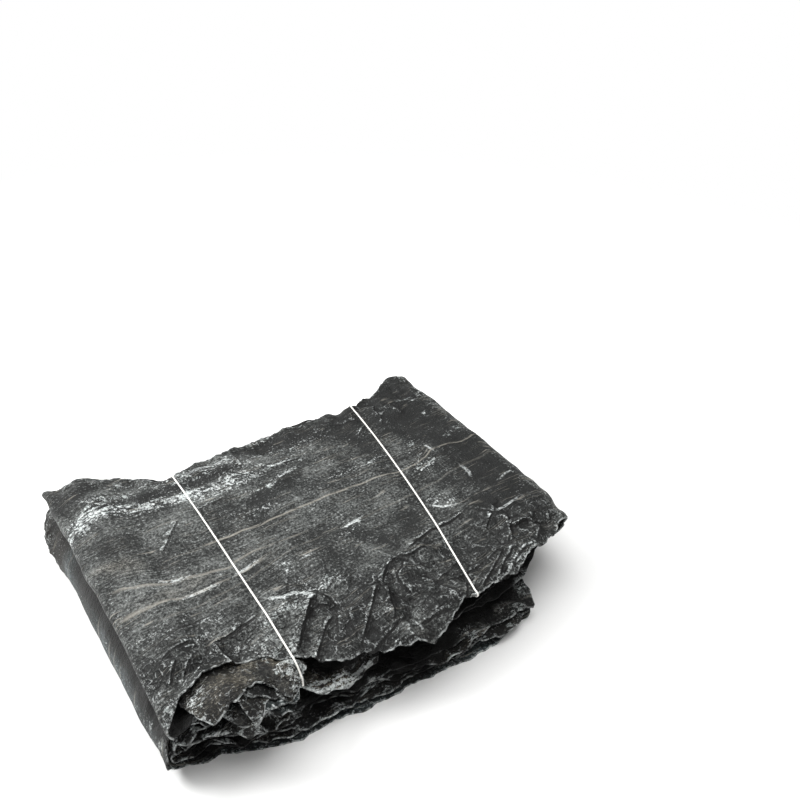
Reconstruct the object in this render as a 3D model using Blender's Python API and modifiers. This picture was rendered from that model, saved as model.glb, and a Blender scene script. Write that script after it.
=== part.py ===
"""Dried kelp bundle: five long kelp blades laid on each other, folded twice
into a Z and held by two cotton threads.

Run with: blender --background --python part.py
Metres, +Z up. Blade length runs along X, blade width along Y, and the bundle
rests on the flat lower side of its outer lower blade, at Z = 0.

The stack holds fifteen sheets: each of the five blades passes three times,
through the bottom, the middle and the top layer. Sheet heights are running
sums of sheet pitches, so no sheet crosses another.
"""

import math

import bmesh
import bpy
from mathutils import Vector, noise
from mathutils.bvhtree import BVHTree

# ---------------------------------------------------------------- dimensions
# Lengths are in millimetres; MM turns them to metres when a mesh is written.
MM = 0.001

COLLECTION_NAME = "dried_kelp_bundle"

# The blades, from the outer upper one to the outer lower one, with the X
# where each ends at the upper left and at the lower right.
BLADE_NAMES = ("blade_outer_upper", "blade_brown_edged", "blade_middle",
               "blade_front_lobes", "blade_outer_lower")
UPPER_END = (-141.0, -107.0, -98.0, -105.0, -101.0)
LOWER_END = (107.0, 102.0, 109.0, 98.0, 112.0)

BLADE_COUNT = len(BLADE_NAMES)
LAYER_COUNT = 3
SHEET_COUNT = BLADE_COUNT * LAYER_COUNT
TOP_SHEET = SHEET_COUNT - 1
BLADE_THICKNESS = 1.4

# Pitch of the sheets in the bottom, middle and top layer, and the loose
# space above the bottom layer and above the middle one (where the threads run).
LAYER_PITCH = (3.2, 2.9, 2.6)
PITCH_LEAST = BLADE_THICKNESS + 0.95
SLOT_ABOVE_BOTTOM = 3.1
SLOT_ABOVE_MIDDLE = 2.7

FOLD_START_LEFT = -132.0
FOLD_START_RIGHT = 138.0
FOLD_REACH_LEFT = 12.5
FOLD_REACH_RIGHT = 13.5
FOLD_SWELL = 0.24            # extra pitch where the lower folds bulge
SWELL_LENGTH = 34.0
END_FALL_START = -109.0      # past here the inner blades' upper ends leave room
END_FALL = 30.0

# Front and back margins of a layer as (x, y) points, joined smoothly.
FRONT_TOP = ((-150, -115), (-128, -102), (-104, -95), (-80, -99), (-66, -107), (-36, -118),
             (12, -132), (49, -121), (78, -118), (112, -104), (152, -89))
FRONT_INNER = ((-150, -101), (-124, -117), (-98, -125), (-78, -121), (-66, -105),
               (-30, -103), (12, -113), (49, -108), (90, -100), (152, -84))
FRONT_MIDDLE = ((-150, -101), (-126, -118), (-100, -128), (-79, -124), (-66, -105),
                (-30, -103), (10, -107), (49, -106), (90, -100), (152, -84))
FRONT_BOTTOM = ((-150, -95), (-128, -107), (-100, -116), (-62, -123), (-20, -127),
                (30, -128), (70, -126), (96, -120), (119, -108), (152, -104))
BACK_TOP = ((-150, 108), (-118, 104), (-97, 92), (-63, 73), (-38, 81), (10, 88),
            (60, 87), (81, 80), (102, 91), (132, 108), (152, 101))
BACK_MIDDLE = ((-150, 103), (-118, 101), (-97, 94), (-63, 73), (-38, 81), (10, 91),
               (62, 89), (81, 79), (102, 88), (132, 101), (152, 95))
BACK_BOTTOM = ((-150, 99), (-110, 93), (-60, 84), (0, 86), (60, 90), (119, 94), (152, 94))

MARGIN_WAVE = 3.0            # in-plane wave of a margin
MARGIN_WAVE_LENGTH = 58.0
FRILL_HEIGHT = 0.7           # extra pitch of the front frills, over pressed margins
BACK_FRILL_HEIGHT = 0.8
BACK_FRILL_BIAS = 0.62
FRILL_WIDTH = 36.0
FRILL_WAVE_LENGTH = 72.0
LOBE_BULK = 2.6              # how much bulkier the frills are at the front left
LOBE_START, LOBE_FULL = -62.0, -92.0
FRONT_GAPE = 2.5             # extra height of the slot at the front right margin
GAPE_START, GAPE_FULL = -55.0, 0.0
BODY_FLUFF = 0.45            # extra pitch that the flat part's waves add
BODY_WAVE_LENGTH = 95.0
SINK_START = 5.0             # how far past a margin the sheets above start to sink
SINK_END = 36.0
MARGIN_SINK = 0.75

THREAD_RADIUS = 0.6
THREAD_STAND_OFF = THREAD_RADIUS + 0.55
THREAD_ASIDES = (-THREAD_RADIUS, 0.0, THREAD_RADIUS)
THREAD_AHEADS = (-2.0, 0.0, 2.0)
END_PROBE_REACH = 2.4        # how much wider a thread's ends look for blades under them
THREAD_TOP_POINTS = 22
THREAD_END_INSET = 3.0       # from a margin to where the thread turns down
THREAD_SIDE_RAYS = 80
FAR = 400.0                  # start of a ray, well outside the bundle
THREAD_SLOT_POINTS = 18
SHEET_OVER_SLOT = 2 * BLADE_COUNT   # the threads go round this sheet and those above it
# Each thread's name and its (y, x) points over the top, front to back.
THREADS = (
    ("thread_left", ((-108, -67), (-60, -66), (0, -64), (74, -63))),
    ("thread_right", ((-119, 49), (-78, 57), (0, 71), (82, 81))),
)

# Grid stations: along the flat layers, round a fold and across a blade.
STATION_STEP = 27.0
FOLD_STEPS = 5
WIDTH_STATIONS = (0.0, 0.04, 0.09, 0.16, 0.29, 0.5, 0.71, 0.84, 0.91, 0.96, 1.0)

KELP_COLOURS = ((0.020, 0.024, 0.022), (0.050, 0.045, 0.034), (0.016, 0.018, 0.017),
                (0.034, 0.032, 0.026), (0.026, 0.031, 0.031))
THREAD_COLOUR = (0.78, 0.78, 0.76)


# ------------------------------------------------------------------- helpers
def ease(start, end, value):
    """Smooth step from 0 at start to 1 at end."""
    part = min(1.0, max(0.0, (value - start) / (end - start)))
    return part * part * (3.0 - 2.0 * part)


def through(points, x):
    """Height at x of the smooth line through (x, y) points."""
    if x <= points[0][0]:
        return points[0][1]
    for (x0, y0), (x1, y1) in zip(points, points[1:]):
        if x <= x1:
            return y0 + (y1 - y0) * ease(x0, x1, x)
    return points[-1][1]


def wave(x, y, length, seed):
    """Smooth noise between 0 and 1 with the given wave length."""
    raw = noise.noise(Vector((x / length, y / length, seed * 7.31)))
    return min(1.0, max(0.0, 0.5 + 0.75 * raw))


# -------------------------------------------------------------------- sheets
def layer_of(sheet):
    return sheet // BLADE_COUNT


def front_margin(sheet, x):
    points = (FRONT_BOTTOM, FRONT_MIDDLE, FRONT_INNER)[layer_of(sheet)]
    if sheet == TOP_SHEET:
        points = FRONT_TOP
    return through(points, x) + MARGIN_WAVE * (wave(x, 0, MARGIN_WAVE_LENGTH, sheet + 20) * 2 - 1)


def back_margin(sheet, x):
    points = (BACK_BOTTOM, BACK_MIDDLE, BACK_TOP)[layer_of(sheet)]
    return through(points, x) + MARGIN_WAVE * (wave(x, 0, MARGIN_WAVE_LENGTH, sheet + 50) * 2 - 1)


def presence(sheet, x, y):
    """1 where a sheet lies, less past its margins and the inner upper ends."""
    past = max(front_margin(sheet, x) - y, y - back_margin(sheet, x), 0.0)
    here = 1.0 - MARGIN_SINK * ease(SINK_START, SINK_END, past)
    if layer_of(sheet) == LAYER_COUNT - 1:
        here *= 1.0 - ease(0.0, END_FALL, END_FALL_START - x)
    return here


def front_rim(sheet, x, y):
    """1 on a sheet's front margin, falling to 0 inside the frilled strip."""
    return 1.0 - ease(0.0, FRILL_WIDTH, y - front_margin(sheet, x))


def back_rim(sheet, x, y):
    return 1.0 - ease(0.0, FRILL_WIDTH, back_margin(sheet, x) - y)


def pitch(sheet, x, y):
    """Distance from a sheet up to the next one."""
    layer = layer_of(sheet)
    body = LAYER_PITCH[layer] + BODY_FLUFF * wave(x, y, BODY_WAVE_LENGTH, sheet)
    if layer < LAYER_COUNT - 1:
        body *= 1.0 + FOLD_SWELL * ease(FOLD_START_LEFT + SWELL_LENGTH, FOLD_START_LEFT, x)
    front, back = front_rim(sheet, x, y), back_rim(sheet, x, y)
    frill = wave(x, y, FRILL_WAVE_LENGTH, sheet + 80)
    bulk = 1.0 + LOBE_BULK * ease(LOBE_START, LOBE_FULL, x)
    pressed = PITCH_LEAST + FRILL_HEIGHT * bulk * frill
    step = body + (pressed - body) * front + BACK_FRILL_HEIGHT * back * (frill - BACK_FRILL_BIAS)
    return max(step, PITCH_LEAST)


def sheet_height(sheet, x, y):
    """Height of a sheet's middle surface above the floor."""
    height = 0.5 * BLADE_THICKNESS
    for below in range(sheet):
        height += pitch(below, x, y) * presence(below, x, y)
        if below == BLADE_COUNT - 1:
            gape = front_rim(BLADE_COUNT, x, y) * ease(GAPE_START, GAPE_FULL, x)
            height += SLOT_ABOVE_BOTTOM + FRONT_GAPE * gape
        elif below == 2 * BLADE_COUNT - 1:
            height += SLOT_ABOVE_MIDDLE
    return height


def sheet_point(sheet, x, across):
    """Point of a sheet; across runs 0 to 1 from its front margin to its back one."""
    front = front_margin(sheet, x)
    y = front + (back_margin(sheet, x) - front) * across
    return Vector((x, y, sheet_height(sheet, x, y)))


def fold_point(upper, lower, fold_x, turn, across):
    """Point on the half turn that joins two sheets; turn runs 0 to 1."""
    start = sheet_point(upper, fold_x, across)
    end = sheet_point(lower, fold_x, across)
    centre_y = 0.5 * (start.y + end.y)
    if fold_x > 0.0:
        outer_upper, outer_lower, reach, side = TOP_SHEET, BLADE_COUNT, FOLD_REACH_RIGHT, 1.0
    else:
        outer_upper, outer_lower, reach, side = 2 * BLADE_COUNT - 1, 0, FOLD_REACH_LEFT, -1.0
    fold_height = (sheet_height(outer_upper, fold_x, centre_y)
                   - sheet_height(outer_lower, fold_x, centre_y))
    angle = math.pi * turn
    return Vector((fold_x + side * reach * (start.z - end.z) / fold_height * math.sin(angle),
                   start.y + (end.y - start.y) * ease(0.0, 1.0, turn),
                   0.5 * (start.z + end.z) + 0.5 * (start.z - end.z) * math.cos(angle)))


# -------------------------------------------------------------------- blades
def stations(start, end):
    """X places from start to end, on a grid that all the blades share."""
    low, high = min(start, end), max(start, end)
    first = math.floor((low - FOLD_START_LEFT) / STATION_STEP) + 1
    places = [low]
    x = FOLD_START_LEFT + first * STATION_STEP
    while x < high - 0.2 * STATION_STEP:
        if x > low + 0.2 * STATION_STEP:
            places.append(x)
        x += STATION_STEP
    places.append(high)
    return places if start < end else places[::-1]


def blade_rows(blade):
    """Rows of points across a blade, from its upper end to its lower end."""
    bottom = BLADE_COUNT - 1 - blade
    middle = BLADE_COUNT + blade
    top = TOP_SHEET - blade
    turns = [step / FOLD_STEPS for step in range(1, FOLD_STEPS)]
    rows = []
    for x in stations(UPPER_END[blade], FOLD_START_RIGHT):
        rows.append([sheet_point(top, x, across) for across in WIDTH_STATIONS])
    for turn in turns:
        rows.append([fold_point(top, middle, FOLD_START_RIGHT, turn, across)
                     for across in WIDTH_STATIONS])
    for x in stations(FOLD_START_RIGHT, FOLD_START_LEFT):
        rows.append([sheet_point(middle, x, across) for across in WIDTH_STATIONS])
    for turn in turns:
        rows.append([fold_point(middle, bottom, FOLD_START_LEFT, turn, across)
                     for across in WIDTH_STATIONS])
    for x in stations(FOLD_START_LEFT, LOWER_END[blade]):
        rows.append([sheet_point(bottom, x, across) for across in WIDTH_STATIONS])
    return rows


def make_blade(blade, name, collection):
    """A grid bent through the folds and thickened to a closed sheet."""
    rows = blade_rows(blade)
    row_steps = len(rows) - 1
    width_steps = len(WIDTH_STATIONS) - 1
    grid = bmesh.new()
    bmesh.ops.create_grid(grid, x_segments=row_steps, y_segments=width_steps, size=0.5)
    for vertex in grid.verts:
        row = round((vertex.co.x + 0.5) * row_steps)
        station = round((vertex.co.y + 0.5) * width_steps)
        vertex.co = rows[row][station] * MM
    mesh = bpy.data.meshes.new(name)
    grid.to_mesh(mesh)
    grid.free()
    mesh.shade_smooth()
    mesh.materials.append(new_material(name + "_kelp", KELP_COLOURS[blade], 0.6))
    item = bpy.data.objects.new(name, mesh)
    collection.objects.link(item)
    shell = item.modifiers.new("thickness", "SOLIDIFY")
    shell.thickness = BLADE_THICKNESS * MM
    shell.offset = 0.0
    return item


# ------------------------------------------------------------------- threads
def hit(trees, origin, direction):
    """Distance in millimetres to the nearest blade face; a miss counts as very far."""
    found = [tree.ray_cast(origin * MM, direction)[3] for tree in trees]
    return min([distance / MM for distance in found if distance is not None], default=9 * FAR)


def side_corners(start, end_height, inward, trees):
    """Upper and lower corner of a thread's side run, just clear of every blade there."""
    end = Vector((start.x, start.y, end_height))
    distances = []
    for index in range(THREAD_SIDE_RAYS):
        place = start.lerp(end, index / (THREAD_SIDE_RAYS - 1)) - inward * FAR
        for aside in THREAD_ASIDES:
            distances.append(hit(trees, place + Vector((aside, 0, 0)), inward))
    outward = FAR - min(distances) + THREAD_STAND_OFF
    return [start - inward * outward, end - inward * outward]


def thread_ends(sheet, points):
    """Front and back Y where a thread along a sheet turns down or up."""
    front = max(front_margin(sheet, points[0][1]), front_margin(TOP_SHEET, points[0][1]))
    back = min(back_margin(sheet, points[-1][1]), back_margin(TOP_SHEET, points[-1][1]))
    return front + THREAD_END_INSET, back - THREAD_END_INSET


def thread_path(points, trees):
    """Closed path over the top sheet, down the back, through the slot, up the front."""
    up, down = Vector((0, 0, 1)), Vector((0, 0, -1))
    probes = [Vector((aside, ahead, 0)) for aside in THREAD_ASIDES for ahead in THREAD_AHEADS]
    end_probes = probes + [probe * END_PROBE_REACH for probe in probes]
    front, back = thread_ends(TOP_SHEET, points)
    top_run = []
    for index in range(THREAD_TOP_POINTS):
        y = front + (back - front) * index / (THREAD_TOP_POINTS - 1)
        x = through(points, y)
        around = end_probes if index in (0, THREAD_TOP_POINTS - 1) else probes
        drops = [hit(trees, Vector((x, y, FAR)) + probe, down) for probe in around]
        top_run.append(Vector((x, y, FAR - min(drops) + THREAD_STAND_OFF)))
    front, back = thread_ends(SHEET_OVER_SLOT, points)
    slot_run = []
    for index in range(THREAD_SLOT_POINTS):
        y = back - (back - front) * index / (THREAD_SLOT_POINTS - 1)
        x = through(points, y)
        middle = 0.5 * (sheet_height(SHEET_OVER_SLOT - 1, x, y)
                        + sheet_height(SHEET_OVER_SLOT, x, y))
        starts = [Vector((x, y, middle)) + probe for probe in probes]
        above = min(hit(trees, start, up) for start in starts)
        under = min(hit(trees, start, down) for start in starts)
        slot_run.append(Vector((x, y, middle + 0.5 * (above - under))))
    back_run = side_corners(top_run[-1], slot_run[0].z, Vector((0, -1, 0)), trees)
    front_run = side_corners(top_run[0], slot_run[-1].z, Vector((0, 1, 0)), trees)
    return top_run + back_run + slot_run + front_run[::-1]


def make_thread(name, points, trees, collection):
    path = thread_path(points, trees)
    curve = bpy.data.curves.new(name, "CURVE")
    curve.dimensions = "3D"
    curve.bevel_depth = THREAD_RADIUS * MM
    curve.bevel_resolution = 1
    spline = curve.splines.new("POLY")
    spline.points.add(len(path) - 1)
    for point, place in zip(spline.points, path):
        point.co = (*(place * MM), 1.0)
    spline.use_cyclic_u = True
    curve.materials.append(new_material(name + "_cotton", THREAD_COLOUR, 0.85))
    item = bpy.data.objects.new(name, curve)
    collection.objects.link(item)
    return item


# --------------------------------------------------------------------- scene
def clear_scene():
    for item in list(bpy.data.objects):
        bpy.data.objects.remove(item, do_unlink=True)


def new_material(name, colour, roughness):
    material = bpy.data.materials.new(name)
    material.use_nodes = True
    shader = material.node_tree.nodes["Principled BSDF"]
    shader.inputs["Base Color"].default_value = (*colour, 1.0)
    shader.inputs["Roughness"].default_value = roughness
    shader.inputs["Metallic"].default_value = 0.0
    return material


def centre_on_floor(items, collection):
    """Parent everything to an empty that puts the box's bottom centre at the origin."""
    graph = bpy.context.evaluated_depsgraph_get()
    low = Vector((1e9, 1e9, 1e9))
    high = -low
    for item in items:
        ready = item.evaluated_get(graph)
        for vertex in ready.to_mesh().vertices:
            low = Vector(map(min, low, vertex.co))
            high = Vector(map(max, high, vertex.co))
        ready.to_mesh_clear()
    frame = bpy.data.objects.new("bundle_origin", None)
    collection.objects.link(frame)
    frame.location = (-(low.x + high.x) / 2, -(low.y + high.y) / 2, -low.z)
    for item in items:
        item.parent = frame


def main():
    clear_scene()
    collection = bpy.data.collections.new(COLLECTION_NAME)
    bpy.context.scene.collection.children.link(collection)
    items = [make_blade(blade, name, collection) for blade, name in enumerate(BLADE_NAMES)]
    graph = bpy.context.evaluated_depsgraph_get()
    trees = [BVHTree.FromObject(item, graph) for item in items]
    items += [make_thread(name, points, trees, collection) for name, points in THREADS]
    centre_on_floor(items, collection)


main()
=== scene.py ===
"""Looks of the dried kelp bundle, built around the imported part's fixed frame.

Five kelp blades lie on each other, folded twice into a Z, and two cotton
threads are tied round the top layer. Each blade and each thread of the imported
part is replaced here by a finer one that follows the same stack, so the
margins, folds and threads stay where the frame has them.

Design lengths are millimetres, with X along the blades, Y across them and the
floor at Z = 0. DESIGN_SHIFT carries them into the frame.
"""

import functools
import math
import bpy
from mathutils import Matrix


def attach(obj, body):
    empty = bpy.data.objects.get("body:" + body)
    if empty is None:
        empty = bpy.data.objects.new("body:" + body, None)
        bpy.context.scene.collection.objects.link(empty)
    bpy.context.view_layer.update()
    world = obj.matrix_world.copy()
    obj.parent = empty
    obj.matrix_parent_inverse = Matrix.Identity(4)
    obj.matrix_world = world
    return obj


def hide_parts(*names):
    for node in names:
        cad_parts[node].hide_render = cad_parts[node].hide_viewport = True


bl_info = {
    "name": "Dried kelp bundle",
    "version": (1, 0, 0),
    "blender": (4, 5, 0),
    "location": "View3D > Sidebar > Kelp",
    "description": "Builds a tied bundle of folded dried kelp blades",
    "category": "Add Mesh",
}

import bpy
import numpy as np
from bpy.props import FloatProperty, FloatVectorProperty, IntProperty, PointerProperty
from bpy.types import Operator, Panel, PropertyGroup
from mathutils import Matrix, Vector, noise
from mathutils.bvhtree import BVHTree

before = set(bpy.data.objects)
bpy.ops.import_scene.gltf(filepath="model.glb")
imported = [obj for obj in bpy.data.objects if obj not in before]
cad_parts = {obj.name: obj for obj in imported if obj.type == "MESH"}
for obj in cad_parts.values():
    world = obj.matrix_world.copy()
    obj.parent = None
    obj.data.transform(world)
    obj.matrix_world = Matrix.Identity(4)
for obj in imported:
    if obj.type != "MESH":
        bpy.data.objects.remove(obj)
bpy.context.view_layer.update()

# ------------------------------------------------------- the stack, as packed
MM = 0.001
DESIGN_SHIFT = (-3.543, 10.277, 0.0)

BLADE_NAMES = ("blade_outer_upper", "blade_brown_edged", "blade_middle",
               "blade_front_lobes", "blade_outer_lower")
BLADE_SLOTS = ("kelp_bloomed", "kelp_brown", "kelp_dark", "kelp_brown", "kelp_grey")
UPPER_END = (-141.0, -131.0, -112.0, -113.0, -110.0)     # a few reach further than packed
LOWER_END = (107.0, 102.0, 109.0, 98.0, 112.0)

BLADE_COUNT = len(BLADE_NAMES)
LAYER_COUNT = 3
SHEET_COUNT = BLADE_COUNT * LAYER_COUNT
TOP_SHEET = SHEET_COUNT - 1
PACKED_THICKNESS = 1.4

LAYER_PITCH = (3.2, 2.9, 2.6)
PITCH_LEAST = PACKED_THICKNESS + 0.95
SLOT_ABOVE_BOTTOM = 3.1
SLOT_ABOVE_MIDDLE = 2.7

FOLD_START_LEFT = -132.0
FOLD_START_RIGHT = 138.0
FOLD_REACH_LEFT = 12.5
FOLD_REACH_RIGHT = 13.5
FOLD_SWELL = 0.24
SWELL_LENGTH = 34.0
END_FALL_START = -109.0
END_FALL = 30.0

FRONT_TOP = ((-150, -115), (-128, -102), (-104, -95), (-80, -99), (-66, -107), (-36, -118),
             (12, -132), (49, -121), (78, -118), (112, -104), (152, -89))
FRONT_INNER = ((-150, -101), (-124, -117), (-98, -125), (-78, -121), (-66, -105),
               (-30, -103), (12, -113), (49, -108), (90, -100), (152, -84))
FRONT_MIDDLE = ((-150, -101), (-126, -118), (-100, -128), (-79, -124), (-66, -105),
                (-30, -103), (10, -107), (49, -106), (90, -100), (152, -84))
FRONT_BOTTOM = ((-150, -95), (-128, -107), (-100, -116), (-62, -123), (-20, -127),
                (30, -128), (70, -126), (96, -120), (119, -108), (152, -104))
BACK_TOP = ((-150, 108), (-118, 104), (-97, 92), (-63, 73), (-38, 81), (10, 88),
            (60, 87), (81, 80), (102, 91), (132, 108), (152, 101))
BACK_MIDDLE = ((-150, 103), (-118, 101), (-97, 94), (-63, 73), (-38, 81), (10, 91),
               (62, 89), (81, 79), (102, 88), (132, 101), (152, 95))
BACK_BOTTOM = ((-150, 99), (-110, 93), (-60, 84), (0, 86), (60, 90), (119, 94), (152, 94))

MARGIN_WAVE = 3.0
MARGIN_WAVE_LENGTH = 58.0
FRILL_HEIGHT = 0.7
BACK_FRILL_HEIGHT = 0.8
BACK_FRILL_BIAS = 0.62
FRILL_WIDTH = 36.0
FRILL_WAVE_LENGTH = 72.0
LOBE_BULK = 2.6
LOBE_START, LOBE_FULL = -62.0, -92.0
FRONT_GAPE = 2.5
GAPE_START, GAPE_FULL = -55.0, 0.0
BODY_FLUFF = 0.45
BODY_WAVE_LENGTH = 95.0
SINK_START = 5.0
SINK_END = 36.0
MARGIN_SINK = 0.75

THREADS = (
    ("thread_left", ((-108, -67), (-60, -66), (0, -64), (74, -63))),
    ("thread_right", ((-119, 49), (-78, 57), (0, 71), (82, 81))),
)

# ------------------------------------------------- finer shape of the margins
# How far a sheet's front margin is drawn back (plus) or let out (minus) from
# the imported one, as (x, amount) points. The top sheet's stays where it is.
MARGIN_DRAW = {
    13: ((-150, 2), (-136, -6), (-120, -9), (-108, -4), (-92, 8), (-84, 3), (-77, -11), (-68, -14),
         (-62, -10), (-58, 2), (-30, 0)),
    12: ((-150, 3), (-136, -5), (-120, -10), (-104, 0), (-90, 1), (-80, -4), (-72, -13), (-64, -12),
         (-59, 4), (-30, 1)),
    11: ((-150, 0), (-130, 4), (-112, -2), (-98, -6), (-86, 4), (-76, -8), (-66, -12), (-60, 5),
         (-30, 2)),
    10: ((-150, 3), (-130, -1), (-112, 4), (-96, -5), (-84, -2), (-72, -10), (-64, -8), (-58, 6),
         (-30, 3)),
    9: ((-150, -1), (-132, 3), (-116, 6), (-98, 0), (-84, -5), (-72, -9), (-65, -8), (-59, 6),
        (-50, 8), (-20, 7), (0, 3)),
    8: ((-150, 4), (-132, 6), (-116, 0), (-98, -3), (-84, 1), (-74, -6), (-66, -14), (-54, -21),
        (-36, -21), (-20, -18), (-12, -8), (-5, 2)),
    7: ((-150, 1), (-134, -1), (-118, 5), (-100, 5), (-86, 3), (-74, -4), (-67, -5), (-61, 5),
        (-40, 4), (-22, 5), (-4, 4), (8, 2), (30, -4), (50, 2)),
    6: ((-150, 0), (-134, 3), (-118, 1), (-100, -2), (-86, -3), (-74, -2), (-66, 2), (-60, 8),
        (-20, 0), (10, -6), (40, -9), (70, -3), (100, 0)),
    5: ((-150, 3), (-134, 1), (-118, 5), (-100, 2), (-86, 2), (-74, 4), (-66, 8), (-40, 8),
        (0, 2), (40, -4), (70, -9), (96, -6), (120, 0)),
    4: ((-150, 6), (-110, 4), (-80, 4), (-68, 8), (-60, 14), (-30, 12), (20, 6), (60, 2),
        (90, -2), (112, -5), (130, -2)),
    3: ((-150, 3), (-110, 6), (-80, 2), (-64, 6), (-56, 9), (-20, 8), (30, 2), (70, 4),
        (104, 2), (130, 3)),
    2: ((-150, 4), (-110, 2), (-78, 3), (-64, -1), (-46, 1), (-20, 8), (30, 6), (70, 0),
        (104, 4), (130, 1)),
    1: ((-150, 2), (-110, 4), (-80, 0), (-46, 5), (-10, 0), (30, 2), (70, 4), (104, 0), (130, 2)),
}
FREE_EDGE_DRAW = 3.5               # about the most that a margin is drawn back at random
# Ragged edges: height, wave length and seed of each of their two waves.
FRONT_RAG = ((1.5, 9.0, 90), (0.8, 3.6, 110))
BACK_RAG = ((1.3, 8.0, 170), (0.9, 3.2, 190))
END_RAG = ((3.0, 19.0, 220), (1.6, 5.0, 240))


# ------------------------------------------------------------------- helpers
def ease(start, end, value):
    """Smooth step from 0 at start to 1 at end."""
    part = np.clip((value - start) / (end - start), 0.0, 1.0)
    return part * part * (3.0 - 2.0 * part)


def through(points, x):
    """Height at x of the smooth line through (x, y) points."""
    xs, ys = np.array(points, float).T
    place = np.clip(np.searchsorted(xs, x) - 1, 0, len(xs) - 2)
    return ys[place] + (ys[place + 1] - ys[place]) * ease(xs[place], xs[place + 1], x)


WAVE_GRID = 5.0
WAVE_LOW = (-180.0, -160.0)
WAVE_CELLS = (72, 62)


@functools.lru_cache(maxsize=None)
def wave_table(length, seed):
    """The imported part's noise on a coarse grid, since it is slow point by point."""
    table = [[noise.noise(Vector(((WAVE_LOW[0] + i * WAVE_GRID) / length,
                                  (WAVE_LOW[1] + j * WAVE_GRID) / length, seed * 7.31)))
              for j in range(WAVE_CELLS[1] + 1)] for i in range(WAVE_CELLS[0] + 1)]
    return np.clip(0.5 + 0.75 * np.array(table), 0.0, 1.0)


def wave(x, y, length, seed):
    """Smooth noise between 0 and 1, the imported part's own."""
    table = wave_table(length, seed)
    across = np.clip((x - WAVE_LOW[0]) / WAVE_GRID, 0, WAVE_CELLS[0] - 0.001)
    along = np.clip((y - WAVE_LOW[1]) / WAVE_GRID, 0, WAVE_CELLS[1] - 0.001)
    i, j = across.astype(int), along.astype(int)
    fx, fy = across - i, along - j
    low = table[i, j] * (1 - fx) + table[i + 1, j] * fx
    high = table[i, j + 1] * (1 - fx) + table[i + 1, j + 1] * fx
    return low * (1 - fy) + high * fy


def chance(i, j, seed):
    """A fixed random number from 0 to 1 for each whole-number place."""
    mixed = (i * 73856093) ^ (j * 19349663) ^ (seed * 83492791)
    mixed = ((mixed ^ (mixed >> 13)) * 1274126177) & 0xFFFFFFFF
    mixed = ((mixed ^ (mixed >> 15)) * 2246822519) & 0xFFFFFFFF
    return ((mixed ^ (mixed >> 13)) & 0xFFFFF) / 0x100000


def ripple(x, y, length, seed):
    """Gradient noise from about -1 to 1 with the given wave length."""
    px, py = x / length, y / length
    ix, iy = np.floor(px).astype(np.int64), np.floor(py).astype(np.int64)
    fx, fy = px - ix, py - iy
    ux, uy = (f * f * f * (f * (f * 6 - 15) + 10) for f in (fx, fy))

    def corner(dx, dy):
        angle = 2 * math.pi * chance(ix + dx, iy + dy, seed)
        return np.cos(angle) * (fx - dx) + np.sin(angle) * (fy - dy)

    low = corner(0, 0) * (1 - ux) + corner(1, 0) * ux
    high = corner(0, 1) * (1 - ux) + corner(1, 1) * ux
    return 1.5 * (low * (1 - uy) + high * uy)


def crumple(x, y, size, seed, bowl_share=0.35):
    """Flat-sided dents that meet in sharp ridges, like crushed dry leaf."""
    ix, iy = np.floor(x / size).astype(np.int64), np.floor(y / size).astype(np.int64)
    best = np.full(np.shape(x), 9.0)
    for di in range(-2, 3):
        for dj in range(-2, 3):
            i, j = ix + di, iy + dj
            rx = x / size - (i + chance(i, j, seed))
            ry = y / size - (j + chance(i, j, seed + 1))
            slope_x = 1.8 * (chance(i, j, seed + 2) - 0.5)
            slope_y = 1.8 * (chance(i, j, seed + 3) - 0.5)
            rise = 0.5 * chance(i, j, seed + 4)
            bowl = bowl_share * (rx * rx + ry * ry)
            best = np.minimum(best, rise + slope_x * rx + slope_y * ry + bowl)
    return best


def dented(first, second):
    """Dents that go up and down alike: two crumples, each (x, y, size, seed)."""
    return crumple(*first) - crumple(*second)


def ragged(waves, along, sheet):
    """Uneven edge of a sheet, from the (height, wave length, seed) of its waves."""
    return sum(height * ripple(along, 0 * along, length, seed + sheet)
               for height, length, seed in waves)


def beside(points, x, y):
    """Distance to a line of points, plus to its left, and the share of its length there."""
    places = np.array(points, float)
    lengths = np.hypot(*np.diff(places, axis=0).T)
    total = lengths.sum()
    nearest = np.full(np.shape(x), 1e9)
    side = np.zeros(np.shape(x))
    share = np.zeros(np.shape(x))
    done = 0.0
    for (ax, ay), (bx, by), length in zip(places, places[1:], lengths):
        dx, dy = (bx - ax) / length, (by - ay) / length
        run = np.clip((x - ax) * dx + (y - ay) * dy, 0.0, length)
        gap = np.hypot(x - ax - run * dx, y - ay - run * dy)
        closer = gap < nearest
        nearest = np.where(closer, gap, nearest)
        side = np.where(closer, np.sign(dx * (y - ay) - dy * (x - ax)), side)
        share = np.where(closer, (done + run) / total, share)
        done += length
    return nearest * np.where(side == 0, 1.0, side), share


# ------------------------------------------------------------ sheets, as packed
def layer_of(sheet):
    return sheet // BLADE_COUNT


def waved(points, x, seed):
    """The line through the points, with a margin's long wave."""
    return through(points, x) + MARGIN_WAVE * (wave(x, 0 * x, MARGIN_WAVE_LENGTH, seed) * 2 - 1)


def packed_front(sheet, x):
    points = (FRONT_BOTTOM, FRONT_MIDDLE, FRONT_INNER)[layer_of(sheet)]
    return waved(FRONT_TOP if sheet == TOP_SHEET else points, x, sheet + 20)


def packed_back(sheet, x):
    return waved((BACK_BOTTOM, BACK_MIDDLE, BACK_TOP)[layer_of(sheet)], x, sheet + 50)


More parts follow.
